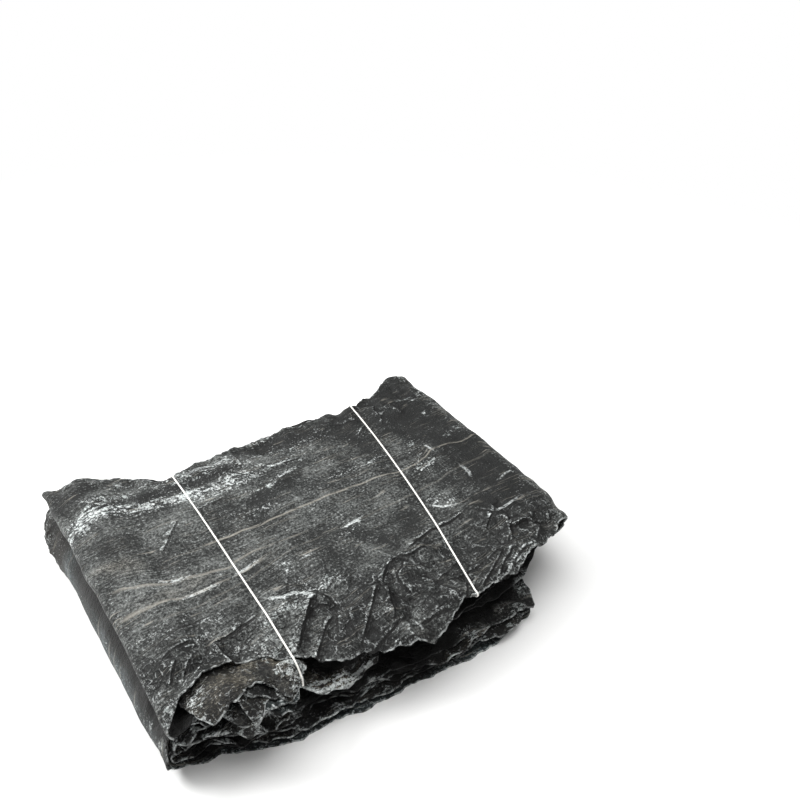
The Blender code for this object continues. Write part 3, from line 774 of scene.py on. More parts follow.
def fold_rows(upper, lower, fold_x):
    """Half turns that join the last row of one sheet to the first of the next."""
    start = np.stack([upper[key][-1] for key in "xyz"], axis=-1)
    end = np.stack([lower[key][0] for key in "xyz"], axis=-1)
    centre_y = np.array([0.5 * (start[:, 1].min() + start[:, 1].max())])
    if fold_x > 0.0:
        outer, inner, reach, side = TOP_SHEET, BLADE_COUNT, FOLD_REACH_RIGHT, 1.0
    else:
        outer, inner, reach, side = 2 * BLADE_COUNT - 1, 0, FOLD_REACH_LEFT, -1.0
    place = np.array([fold_x])
    fold_height = float((fine_height(outer, place, centre_y)
                         - fine_height(inner, place, centre_y))[0])
    rows = {key: [] for key in ("x", "y", "z", "in_front", "in_back", "to_next", "to_last")}
    for step in range(1, FOLD_STEPS):
        turn = step / FOLD_STEPS
        angle = math.pi * turn
        drop = start[:, 2] - end[:, 2]
        rows["x"].append(fold_x + side * reach * drop / fold_height * math.sin(angle))
        rows["y"].append(start[:, 1] + (end[:, 1] - start[:, 1]) * float(ease(0.0, 1.0, turn)))
        rows["z"].append(0.5 * (start[:, 2] + end[:, 2]) + 0.5 * drop * math.cos(angle))
        for key in ("in_front", "in_back", "to_next", "to_last"):
            rows[key].append(upper[key][-1] + (lower[key][0] - upper[key][-1]) * turn)
    return {**{key: np.array(value) for key, value in rows.items()}, "sheet": None}


def blade_parts(blade):
    """The blade's rows, from its upper end to its lower end, part by part."""
    bottom, middle, top = BLADE_COUNT - 1 - blade, BLADE_COUNT + blade, TOP_SHEET - blade
    steps = GRID[blade][0]
    upper_end = ROLL_X - ROLL_LENGTH if blade == 0 else UPPER_END[blade]
    upper = flat_rows(blade, top, run(upper_end, FOLD_START_RIGHT, *steps[0]))
    centre = flat_rows(blade, middle, run(FOLD_START_RIGHT, FOLD_START_LEFT, *steps[1]))
    lower = flat_rows(blade, bottom, run(FOLD_START_LEFT, LOWER_END[blade], *steps[2]))
    return [upper, fold_rows(upper, centre, FOLD_START_RIGHT), centre,
            fold_rows(centre, lower, FOLD_START_LEFT), lower]


def painted_cavity_shade(part):
    """Painted shade: how far in under the margins above each point lies, from 0 to 1."""
    if part["sheet"] is None or part["sheet"] == TOP_SHEET:
        return np.zeros(part["x"].shape)
    xs = part["x"][:, 0]
    over = np.min([front_margin(above, xs) for above in range(part["sheet"] + 1, SHEET_COUNT)],
                  axis=0)
    open_here = NEST_OPEN * ease(LOBE_START, LOBE_FULL, part["x"])
    return ease(CAVITY_SHADE_START, CAVITY_SHADE_FULL, part["y"] - over[:, None] - open_here)


def normals_of(points):
    along = np.gradient(points, axis=0)
    across = np.gradient(points, axis=1)
    normal = np.cross(along, across)
    return normal / np.maximum(np.linalg.norm(normal, axis=-1, keepdims=True), 1e-9)


def smoothed(values, times):
    """Averages of each value with its neighbours along and across the grid."""
    for step in range(times):
        for axis in (0, 1):
            wide = np.concatenate([values.take([0], axis), values, values.take([-1], axis)], axis)
            count = values.shape[axis]
            values = (wide.take(range(count), axis) + 2 * values
                      + wide.take(range(2, count + 2), axis)) / 4
    return values


def blade_shape(blade, crush, thickness):
    """Points of a blade's middle surface, its grain map and its colour marks with
    painted shade and highlight, and which points lie past the top face, where fewer faces are
    enough."""
    parts = blade_parts(blade)
    cavity_shade, in_front, in_back, to_next, to_last = (np.concatenate(item) for item in (
        [painted_cavity_shade(part) for part in parts],
        *([part[key] for part in parts] for key in ("in_front", "in_back", "to_next", "to_last"))))
    points = np.concatenate([np.stack([part[key] for key in "xyz"], -1) for part in parts])
    steps = np.linalg.norm(np.diff(points[:, points.shape[1] // 2], axis=0), axis=-1)
    path = np.concatenate([[0.0], np.cumsum(steps)])[:, None] + 0 * points[..., 0]
    y = points[..., 1]
    inside = np.minimum(in_front, in_back)
    room = ROOM_SHARE * np.maximum(np.minimum(to_next, to_last) - thickness, 0.05)
    crush_big = dented((path, 1.3 * y, 15.0, 401 + 10 * blade),
                       (path + 0.4 * y, y, 12.0, 405 + 10 * blade))
    crush_small = dented((path, y, 6.0, 451 + 10 * blade),
                         (path - 0.4 * y, y, 5.0, 455 + 10 * blade))
    push = crush * (CRUSH_INSIDE + np.exp(-inside / RIM_REACH)) \
        * (5.5 * crush_big + 2.6 * crush_small)
    push = room * np.tanh(push / room)
    top_rows = len(parts[0]["x"])
    top, rest = slice(0, top_rows), slice(top_rows, None)
    if blade == 0:
        x_top, y_top = parts[0]["x"], parts[0]["y"]
        push[top] = 0.0
        rise, nearest, line = top_relief(x_top, y_top)
        rise = rise * ease(0.0, 14.0, FOLD_START_RIGHT - x_top)
        points[top, :, 2] += rise
    pressed = points + normals_of(points) * push[..., None]
    points = stirred(pressed)
    field = push * np.sign(normals_of(pressed)[..., 2] + 0.001) + points[..., 2] - pressed[..., 2]
    if blade == 0:
        field[top] += rise
        roll_up(points[top], y_top)
    relief = (smoothed(field, 1) - smoothed(field, 7)) / RELIEF_SCALE

    x, z = points[..., 0], points[..., 2]
    grain = y + 5.0 * ripple(path, 0 * path, 120.0, 500 + blade) \
        + 0.10 * (path - path.mean()) * (0.3 if blade < BLADE_COUNT - 1 else 0.5)
    bloom = 0.35 * (0.5 + 0.5 * ripple(path, 2.0 * y, 60.0, 510 + blade))
    bloom = bloom + 0.3 * np.exp(-inside / 1.3) + 0.5 * np.exp(-in_back / 2.5) \
        * ease(-0.3, 0.6, ripple(path, y, 22.0, 540 + blade))
    brown = 0.35 + 0.5 * ripple(path, y, 45.0, 520 + blade)
    dark = np.clip(0.25 + 0.5 * ripple(path, y, 38.0, 530 + blade), 0, 1)
    ribs = 0.8 * np.ones(path.shape)
    crushed = np.clip(0.15 + 0.95 * np.exp(-in_front / 20.0) + 0.9 * np.exp(-in_back / 9.0), 0, 1)
    foot, stroke = np.full(path.shape, FAR_AWAY), np.full(path.shape, FAR_AWAY)
    lines, strokes = np.zeros(path.shape), np.zeros(path.shape)
    spare = np.ones(path.shape, bool)
    if blade == 0:
        past = path[rest] - path[top_rows]
        foot[top], lines[top] = nearest, line
        stroke[top], strokes[top] = thin_strokes(BLOOM, x_top, y_top)
        grain[top] = top_grain(x_top, y_top)
        blend = grain[top_rows - 1] - grain[top_rows]
        grain[rest] += blend[None, :] * np.exp(-past / GRAIN_FADE)
        past_top = 1.0 - np.exp(-past / RIB_FADE)
        bloom[rest] *= 1.0 - 0.45 * past_top
        ribs[rest] *= 1.0 - 0.5 * past_top
        bloom[top] = drawn(BLOOM, x_top, y_top) + 0.3 * np.exp(-parts[0]["in_front"] / 1.4)
        brown[top] = drawn(BROWN, x_top, y_top)
        dark[top] = drawn(DARK, x_top, y_top)
        ribs[top] = top_rib_strength(x_top, grain[top])
        crushed[top] = np.clip(0.06 + 0.9 * ease(-58.0, -84.0, y[top])
                               + 0.7 * np.exp(-parts[0]["in_back"] / 9.0), 0, 1)
        spare[top] = False
    else:
        # painted light: the crumpled front left is made paler and a little less dark, as if lit
        nest = ease(LOBE_START, LOBE_FULL, x) * np.exp(-in_front / 16.0)
        bloom = bloom + 0.12 * nest
        dark = dark * (1.0 - 0.1 * nest)
    if blade == BLADE_COUNT - 1:
        # painted shadow just under the top face's left end, brown at the back left corner
        edge_shadow = ease(-118.0, -130.0, x) * ease(22.0, 35.0, z) * ease(74.0, 20.0, y)
        cavity_shade = np.maximum(cavity_shade, edge_shadow)
        corner = ease(-126.0, -136.0, x) * ease(50.0, 66.0, y)
        brown = brown + corner
        dark = dark + 0.6 * corner
    if blade == PATCH_BLADE:
        # pale brown beside the left thread, partly its own colour and partly painted light; the
        # painted shade is taken off there
        patch = (ease(-64.0, -58.0, x) * ease(-18.0, -28.0, x) * ease(-110.0, -114.0, y)
                 * ease(20.0, 23.0, z) * ease(36.0, 33.0, z))
        bloom = bloom + 0.9 * patch
        brown = brown + 0.8 * patch
        dark = dark * (1.0 - patch)
        cavity_shade = cavity_shade * (1.0 - patch)
    # paler on ridges, partly worn bloom and partly painted highlight; darker in valleys, painted
    # shade
    bloom = bloom + 0.5 * ease(0.25, 1.0, relief)
    crease = ease(0.15, 1.0, -relief)
    shares = np.stack([bloom, crease, ribs, brown, crushed, lines, strokes, dark, cavity_shade], -1)
    finish = np.concatenate([np.clip(shares, 0.0, 1.0), np.stack([foot, inside, stroke], -1)], -1)
    return points, np.stack([path, grain], axis=-1), finish, spare


def roll_up(points, y):
    """Rolls the top face's left end under, in place."""
    radius = ROLL_RADIUS + 0.7 * ripple(y, 0 * y, 22.0, 701)
    start = ROLL_X + 0.9 * ripple(y, 0 * y, 30.0, 702)
    past = np.maximum(start - points[..., 0], 0.0)
    angle = past / radius
    points[..., 0] += past - radius * np.sin(angle)
    points[..., 2] -= radius * (1.0 - np.cos(angle))


def sheet_mesh(name, points, grain, finish):
    """A grid of points as a mesh with its grain map and colour-mark attributes, painted shade among
    them.
    """
    rows, cols = points.shape[:2]
    index = np.arange(rows * cols).reshape(rows, cols)
    quads = np.stack([index[:-1, :-1], index[1:, :-1], index[1:, 1:], index[:-1, 1:]], -1)
    mesh = bpy.data.meshes.new(name)
    places = (points + np.array(DESIGN_SHIFT)).reshape(-1, 3) * MM
    mesh.from_pydata(places.tolist(), [], quads.reshape(-1, 4).tolist())
    mesh.polygons.foreach_set("use_smooth", np.ones(len(mesh.polygons), bool))
    corner = np.zeros(len(mesh.loops), np.int32)
    mesh.loops.foreach_get("vertex_index", corner)
    layer = mesh.uv_layers.new(name="grain")
    layer.data.foreach_set("uv", (grain.reshape(-1, 2)[corner] * MM).ravel())
    for number, key in enumerate(FINISH):
        item = mesh.attributes.new(key, "FLOAT", "POINT")
        item.data.foreach_set("value", finish[..., number].ravel())
    mesh.update()
    return mesh


def finished(item):
    """The object with its modifiers made part of a plain mesh."""
    graph = bpy.context.evaluated_depsgraph_get()
    mesh = bpy.data.meshes.new_from_object(item.evaluated_get(graph), depsgraph=graph)
    old = item.data
    item.modifiers.clear()
    if item.type == "CURVE":
        name = item.name
        bpy.data.objects.remove(item)
        item = bpy.data.objects.new(name, mesh)
        bpy.context.scene.collection.objects.link(item)
    else:
        item.data = mesh
        bpy.data.meshes.remove(old)
    item.data.name = item.name
    return item


def lay_blade(blade, settings):
    """Lays one blade from end to end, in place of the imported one."""
    name = BLADE_NAMES[blade]
    points, grain, finish, spare = blade_shape(blade, settings.crush, settings.thickness / MM)
    item = bpy.data.objects.new("kelp_" + name, sheet_mesh(name, points, grain, finish))
    bpy.context.scene.collection.objects.link(item)
    item.data.materials.append(kelp_material(BLADE_SLOTS[blade], settings))
    faces = 2 * len(item.data.polygons)
    if faces > MOST_FACES:
        group = item.vertex_groups.new(name="spare")
        group.add(np.flatnonzero(spare).tolist(), 1.0, "REPLACE")
        fewer = item.modifiers.new("fewer_faces", "DECIMATE")
        fewer.ratio = MOST_FACES / faces
        fewer.vertex_group = group.name
        fewer.vertex_group_factor = SPARE_FIRST
    shell = item.modifiers.new("thickness", "SOLIDIFY")
    shell.thickness = settings.thickness
    shell.offset = 0.0
    item = finished(item)
    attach(item, "root")
    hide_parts(name)


# ----------------------------------------------------------------- materials
def linear(hex_code):
    """Linear red, green and blue of an sRGB hex colour."""
    parts = [int(hex_code[i:i + 2], 16) / 255.0 for i in (1, 3, 5)]
    return tuple(c / 12.92 if c <= 0.04045 else ((c + 0.055) / 1.055) ** 2.4 for c in parts)


def add(tree, kind, inputs=None, **settings):
    """Adds a node, with its settings and its inputs' values or links."""
    node = tree.nodes.new(kind)
    for key, value in settings.items():
        setattr(node, key, value)
    for key, value in (inputs or {}).items():
        if isinstance(value, bpy.types.NodeSocket):
            tree.links.new(value, node.inputs[key])
        else:
            node.inputs[key].default_value = value
    return node


def new_material(name):
    material = bpy.data.materials.new(name)
    material.use_nodes = True
    tree = material.node_tree
    tree.nodes.clear()
    return material, tree


KELP_TONES = {
    # dark and mid body, dark and light brown, how much bloom, how much brown
    "kelp_bloomed": ("#0e100f", "#717472", "#12110e", "#777268", 0.62, 0.25),
    "kelp_brown": ("#0c0d0b", "#5c5d57", "#110f0b", "#7f7869", 0.45, 0.85),
    "kelp_dark": ("#0a0b0b", "#565955", "#100f0c", "#6a665c", 0.40, 0.40),
    "kelp_grey": ("#182020", "#768184", "#1d1b18", "#757168", 0.50, 0.15),
}
BLOOM_COLOUR = "#dde2e1"
FLAKE_COLOUR = "#a3aaa8"
RIB_COLOUR = "#a29e94"
SHADE_COLOUR = "#080807"
FACET_TILT = 0.5                   # slope of the small dents drawn by the bump
BUMP_DEPTH = 0.0016
# Sizes of the pattern in mm. Dust and flakes are drawn coarser than real, so
# that they show.
DUST_SIZE, BLOTCH_SIZE, WARMTH_SIZE = 1.5, 15.0, 46.0
FLAKE_SIZE, DENT_SIZE, CRACK_SIZE = 2.1, 8.0, 4.6
BEND_SIZE, BEND_BY = 5.0, 6.0      # how the cells of the pattern are bent out of true
CREST_AT = -1.15                   # painted highlight on a fold's ridge, from its foot


def kelp_material(slot, settings):
    """Dried kelp, wind-dried and pressed: matt leathery brown-green gone nearly
    black, dusted along the grain with pale salt and mannitol bloom, with thin
    tan ribs. The bloom is drawn in grains of 1 to 2 mm, coarser than real, so
    that it shows."""
    name = "dried_" + slot
    if name in bpy.data.materials:
        return bpy.data.materials[name]
    dark_body, mid_body, dark_brown, light_brown, bloom_share, brown_share = KELP_TONES[slot]
    material, tree = new_material(name)
    grain = add(tree, "ShaderNodeUVMap", uv_map="grain").outputs["UV"]
    place = add(tree, "ShaderNodeTexCoord").outputs["Object"]

    def mark(key):
        return add(tree, "ShaderNodeAttribute", attribute_name=key).outputs["Fac"]

    def streak(along, across, detail, rough=0.6):
        scaled = add(tree, "ShaderNodeMapping",
                     {"Vector": grain, "Scale": (1 / (along * MM), 1 / (across * MM), 1.0)})
        return add(tree, "ShaderNodeTexNoise", {"Vector": scaled.outputs[0], "Scale": 1.0,
                                                "Detail": detail, "Roughness": rough}).outputs[0]

    def grit(size, detail, rough=0.6):
        return add(tree, "ShaderNodeTexNoise", {"Vector": place, "Scale": 1 / (size * MM),
                                                "Detail": detail, "Roughness": rough}).outputs[0]

    def sum_of(*parts):
        total = None
        for value, weight in parts:
            scaled = add(tree, "ShaderNodeMath", {0: value, 1: weight}, operation="MULTIPLY")
            total = scaled if total is None else add(
                tree, "ShaderNodeMath", {0: total.outputs[0], 1: scaled.outputs[0]})
        return total.outputs[0]

    def times(first, second, clamped=True):
        return add(tree, "ShaderNodeMath", {0: first, 1: second}, operation="MULTIPLY",
                   use_clamp=clamped).outputs[0]

    def band(value, low, high, to_low=0.0, to_high=1.0, blend="SMOOTHSTEP"):
        return add(tree, "ShaderNodeMapRange",
                   {"Value": value, "From Min": low, "From Max": high, "To Min": to_low,
                    "To Max": to_high}, interpolation_type=blend).outputs[0]

    def mixed(factor, first, second):
        return add(tree, "ShaderNodeMix", {0: factor, 6: first, 7: second},
                   data_type="RGBA").outputs[2]

    def colour(hex_code):
        return (*linear(hex_code), 1.0)

    def line_at(value, level, half_width, soft):
        off = add(tree, "ShaderNodeMath", {0: value, 1: level}, operation="SUBTRACT").outputs[0]
        size = add(tree, "ShaderNodeMath", {0: off}, operation="ABSOLUTE").outputs[0]
        return band(size, half_width, half_width + soft, 1.0, 0.0)

    def most(first, second):
        return add(tree, "ShaderNodeMath", {0: first, 1: second}, operation="MAXIMUM").outputs[0]

    def cells(vector, size, feature):
        return add(tree, "ShaderNodeTexVoronoi", {"Vector": vector, "Scale": 1 / (size * MM)},
                   feature=feature).outputs

    crushed, bloomed, dark = mark("crushed"), mark("bloom"), mark("dark")
    long_streak = streak(30.0, 1.3, 3.0)
    short_streak = streak(4.5, 1.3, 3.0, 0.7)
    dust = grit(DUST_SIZE, 3.0, 0.75)
    blotch = grit(BLOTCH_SIZE, 4.0)
    warmth = grit(WARMTH_SIZE, 2.0)
    clump = band(streak(9.0, 3.0, 4.0, 0.7), 0.36, 0.56)

    body = band(sum_of((dust, 0.80), (long_streak, 0.26), (short_streak, 0.16), (blotch, 0.34),
                       (warmth, 0.32), (dark, -0.17)), 0.86, 1.14)
    plain = mixed(body, colour(dark_body), colour(mid_body))
    brown = mixed(body, colour(dark_brown), colour(light_brown))
    warm = band(sum_of((mark("brown"), 0.55), (warmth, 0.9), (blotch, 0.25)),
                0.92 - 0.5 * brown_share, 1.30 - 0.5 * brown_share)
    surface = mixed(warm, plain, brown)

    # bloom: dust everywhere, and flakes where it lies thick
    dusting = times(bloomed, clump)
    cover = band(sum_of((dusting, 0.24), (dust, 0.86), (short_streak, 0.14),
                        (long_streak, 0.14), (blotch, 0.10), (dark, -0.02)),
                 0.77 - 0.06 * bloom_share, 0.88 - 0.06 * bloom_share)
    flat = add(tree, "ShaderNodeMapping", {"Vector": grain, "Scale": (0.55, 1.0, 1.0)}).outputs[0]
    bent = add(tree, "ShaderNodeTexNoise", {"Vector": place, "Scale": 1 / (BEND_SIZE * MM),
                                            "Detail": 3.0}).outputs[1]
    bent = add(tree, "ShaderNodeVectorMath", {0: bent, "Scale": BEND_BY * MM},
               operation="SCALE").outputs[0]
    flat = add(tree, "ShaderNodeVectorMath", {0: flat, 1: bent}).outputs[0]
    flake_gap = cells(flat, FLAKE_SIZE, "DISTANCE_TO_EDGE")["Distance"]
    flake_chance = cells(flat, FLAKE_SIZE, "F1")["Color"]
    flake = times(band(flake_gap, 0.02, 0.16),
                  band(sum_of((flake_chance, 1.0), (dusting, 0.95)), 1.05, 1.25))
    surface = mixed(times(flake, 0.8), surface, colour(FLAKE_COLOUR))
    surface = mixed(times(cover, 0.85), surface, colour(BLOOM_COLOUR))
    smear = times(times(line_at(mark("stroke"), 0.0, 0.35, 0.75), mark("strokes")),
                  band(sum_of((dust, 0.6), (short_streak, 0.6)), 0.50, 0.62))
    rim = times(line_at(mark("rim"), 0.0, 0.35, 0.7), band(grit(4.0, 3.0), 0.42, 0.56))

    # dents of crushed leaf, with painted shade in the lines where they meet, and pale hair lines
    moved = add(tree, "ShaderNodeVectorMath", {0: place, 1: bent}).outputs[0]
    dents = cells(moved, DENT_SIZE, "F1")
    offset = add(tree, "ShaderNodeVectorMath", {0: moved, 1: dents["Position"]},
                 operation="SUBTRACT").outputs[0]
    lean = add(tree, "ShaderNodeVectorMath", {0: dents["Color"], 1: (0.5, 0.5, 0.5)},
               operation="SUBTRACT").outputs[0]
    facet = add(tree, "ShaderNodeVectorMath", {0: offset, 1: lean},
                operation="DOT_PRODUCT").outputs["Value"]
    facet = times(facet, crushed, clamped=False)
    dent_gap = cells(moved, DENT_SIZE, "DISTANCE_TO_EDGE")["Distance"]
    crack_gap = cells(moved, CRACK_SIZE, "DISTANCE_TO_EDGE")["Distance"]
    wrinkle = times(band(dent_gap, 0.01, 0.07, 1.0, 0.0), crushed)
    crack = times(times(band(crack_gap, 0.0, 0.07, 1.0, 0.0), crushed),
                  band(grit(5.0, 3.0), 0.52, 0.62))
    # each fold's foot gets a painted shadow line, and its ridge a painted highlight here and there
    foot_shadow = times(line_at(mark("foot"), 0.0, 0.35, 0.6), mark("line"))
    crest_highlight = times(times(line_at(mark("foot"), CREST_AT, 0.1, 0.55), mark("line")),
                       band(grit(6.0, 3.0), 0.46, 0.60, 0.0, 0.55))
    pale = most(most(crack, rim), times(crest_highlight, band(dust, 0.38, 0.55)))
    surface = mixed(times(pale, 0.5), surface, colour(BLOOM_COLOUR))
    surface = mixed(times(smear, 0.85), surface, colour(BLOOM_COLOUR))

    # ribs on their own grain lines, fibres and hair lines between them
    across = add(tree, "ShaderNodeSeparateXYZ", {0: grain}).outputs["Y"]
    ramp = add(tree, "ShaderNodeValToRGB",
               {"Fac": band(across, -GRAIN_SPAN * MM, GRAIN_SPAN * MM, blend="LINEAR")})
    rib_stops(ramp.color_ramp)
    broken = band(streak(12.0, 3.0, 3.0), 0.34, 0.50)
    rib = times(times(ramp.outputs[0], mark("rib")), broken)
    fibre = times(line_at(streak(110.0, 3.0, 0.0, 0.5), 0.5, 0.004, 0.022),
                  band(streak(22.0, 7.0, 2.0), 0.50, 0.64))
    hair = times(line_at(streak(60.0, 4.0, 1.0, 0.5), 0.45, 0.003, 0.02),
                 band(streak(28.0, 8.0, 2.0), 0.47, 0.60))
    surface = mixed(most(times(rib, 0.95), times(fibre, 0.55)), surface, colour(RIB_COLOUR))
    # painted shade from valleys, from under the margins above, along the lines where dents meet and
    # at fold feet, mixed with the kelp's own dark tone and hair lines
    shade = times(sum_of((mark("crease"), 0.55), (dark, 0.34), (mark("shade"), 0.95),
                         (wrinkle, 0.45), (foot_shadow, 0.95), (hair, 0.55)),
                  1.0)
    surface = mixed(shade, surface, colour(SHADE_COLOUR))

    relief = sum_of((dust, 0.60), (short_streak, 0.25), (long_streak, 0.45), (cover, 0.10),
                    (rib, 0.20), (fibre, 0.12), (blotch, 1.2), (wrinkle, -0.25),
                    (pale, 0.15), (foot_shadow, -0.35), (facet, FACET_TILT / BUMP_DEPTH))
    bump = add(tree, "ShaderNodeBump", {"Height": relief, "Strength": 1.0, "Distance": BUMP_DEPTH})
    shader = add(tree, "ShaderNodeBsdfPrincipled",
                 {"Base Color": surface, "Roughness": band(cover, 0.0, 1.0, 0.62, 0.9),
                  "Normal": bump.outputs[0], "IOR": 1.46, "Specular IOR Level": 0.4})
    add(tree, "ShaderNodeOutputMaterial", {"Surface": shader.outputs[0]})
    return material


def rib_stops(ramp):
    """Narrow white lines on black, one on each rib's grain line."""
    ramp.elements.remove(ramp.elements[1])
    ramp.elements[0].position = 0.0
    ramp.elements[0].color = (0, 0, 0, 1)
    for line in PLAIN_RIBS:
        for offset, level in ((-RIB_HALF_WIDTH, 0.0), (0.0, 1.0), (RIB_HALF_WIDTH, 0.0)):
            stop = ramp.elements.new((line + offset + GRAIN_SPAN) / (2 * GRAIN_SPAN))
            stop.color = (level, level, level, 1)


def cotton_material(settings):
    """Bleached cotton twine, ring spun and plied: matt, near white, with fine
    fibres lying along each ply."""
    material, tree = new_material("spun_cotton_twine")
    place = add(tree, "ShaderNodeTexCoord").outputs["Object"]
    fibres = add(tree, "ShaderNodeTexNoise", {"Vector": place, "Scale": 1 / (0.35 * MM),
                                              "Detail": 3.0, "Roughness": 0.6}).outputs[0]
    fac = add(tree, "ShaderNodeMapRange", {"Value": fibres, "From Min": 0.35,
                                           "From Max": 0.65}).outputs[0]
    tone = add(tree, "ShaderNodeMix",
               {0: fac, 6: (*linear("#d9d7d0"), 1.0), 7: (*settings.colour, 1.0)},
               data_type="RGBA").outputs[2]
    bump = add(tree, "ShaderNodeBump", {"Height": fibres, "Strength": 0.5, "Distance": 0.0002})
    shader = add(tree, "ShaderNodeBsdfPrincipled",
                 {"Base Color": tone, "Roughness": 0.9, "Normal": bump.outputs[0],
                  "Sheen Weight": 0.3, "Sheen Roughness": 0.5})
    add(tree, "ShaderNodeOutputMaterial", {"Surface": shader.outputs[0]})
    return material


# ------------------------------------------------------------------- threads
FAR = 400.0                        # rays start this far off, and a miss counts as
MISSED = 9 * FAR                   # this far
THREAD_SPACING = 1.5
THREAD_CLEARANCE = 0.15            # between a thread and the blades
THREAD_OVERSHOOT = 4.0             # how far past the margins its route is looked for
SLOT_HEIGHT, TOP_HEIGHT = 36.0, 54.0   # about where it runs under and over the top layer
SLOT_INSET = 12.0                  # from a margin to where it lies in the slot
PLY_SHARE, LAY_SHARE = 0.27, 0.24  # radius of a ply and of its twist, share of the diameter


def hit(trees, origin, direction):
    """Distance in millimetres to the nearest blade face; a miss counts as very far."""
    start = (Vector(origin) + Vector(DESIGN_SHIFT)) * MM
    found = [tree.ray_cast(start, Vector(direction))[3] for tree in trees]
    return min([distance / MM for distance in found if distance is not None], default=MISSED)


def thread_x(points, y):
    """Smooth line of a thread over the top face."""
    ys, xs = np.array(points, float).T
    return np.polyval(np.polyfit(ys, xs, len(xs) - 1), np.clip(y, ys[0], ys[-1]))


def outline(places):
    """The outer (y, z) places only, in order round them: where a taut thread lies."""
    places = sorted(set(places))

    def half(run_of):
        kept = []
        for place in run_of:
            while len(kept) > 1:
                (y0, z0), (y1, z1) = kept[-2:]
                if (y1 - y0) * (place[1] - z0) - (z1 - z0) * (place[0] - y0) > 0:
                    break
                kept.pop()
            kept.append(place)
        return kept[:-1]

    return half(places) + half(places[::-1])


def thread_route(points, trees, radius):
    """Taut closed line round the top layer, under it through the slot."""
    stand_off = radius + THREAD_CLEARANCE
    asides = (-0.5, 0.0, 0.5)
    front = packed_front(TOP_SHEET, np.array([points[0][1]]))[0] - THREAD_OVERSHOOT
    back = packed_back(TOP_SHEET, np.array([points[-1][1]]))[0] + THREAD_OVERSHOOT
    top_y = np.arange(front, back, THREAD_SPACING)
    places = []
    for x, y in zip(thread_x(points, top_y), top_y):
        height = FAR - min(hit(trees, (x + dx, y, FAR), (0, 0, -1)) for dx in asides)
        if height > SLOT_HEIGHT:
            places.append((y, height + stand_off))
    middle_y = 0.5 * (top_y[0] + top_y[-1])
    for inward, end in ((1.0, points[0]), (-1.0, points[-1])):
        for z in np.arange(SLOT_HEIGHT, TOP_HEIGHT, 1.0):
            away = min(hit(trees, (end[1] + dx, middle_y - inward * FAR, z), (0, inward, 0))
                       for dx in asides)
            if away < FAR:
                places.append((middle_y - inward * (FAR - away + stand_off), z))
    ring = outline(places)
    ring = ring[::-1] if ring[1][1] < ring[0][1] else ring
    ring = np.array(ring + ring[:1])
    dense = np.concatenate([np.linspace(a, b, max(2, int(np.hypot(*(b - a)) / 1.0)),
                                        endpoint=False) for a, b in zip(ring, ring[1:])])
    low = dense[:, 1] < SLOT_HEIGHT + 1.5
    y, z = dense.T
    x = thread_x(points, y)
    slot = 0.5 * (fine_height(2 * BLADE_COUNT - 1, x, y) + fine_height(2 * BLADE_COUNT, x, y))
    inside = (y > top_y[0] + SLOT_INSET) & (y < top_y[-1] - SLOT_INSET)
    z = np.where(low & inside, slot, z)
    return np.stack([x, y, z], axis=1)


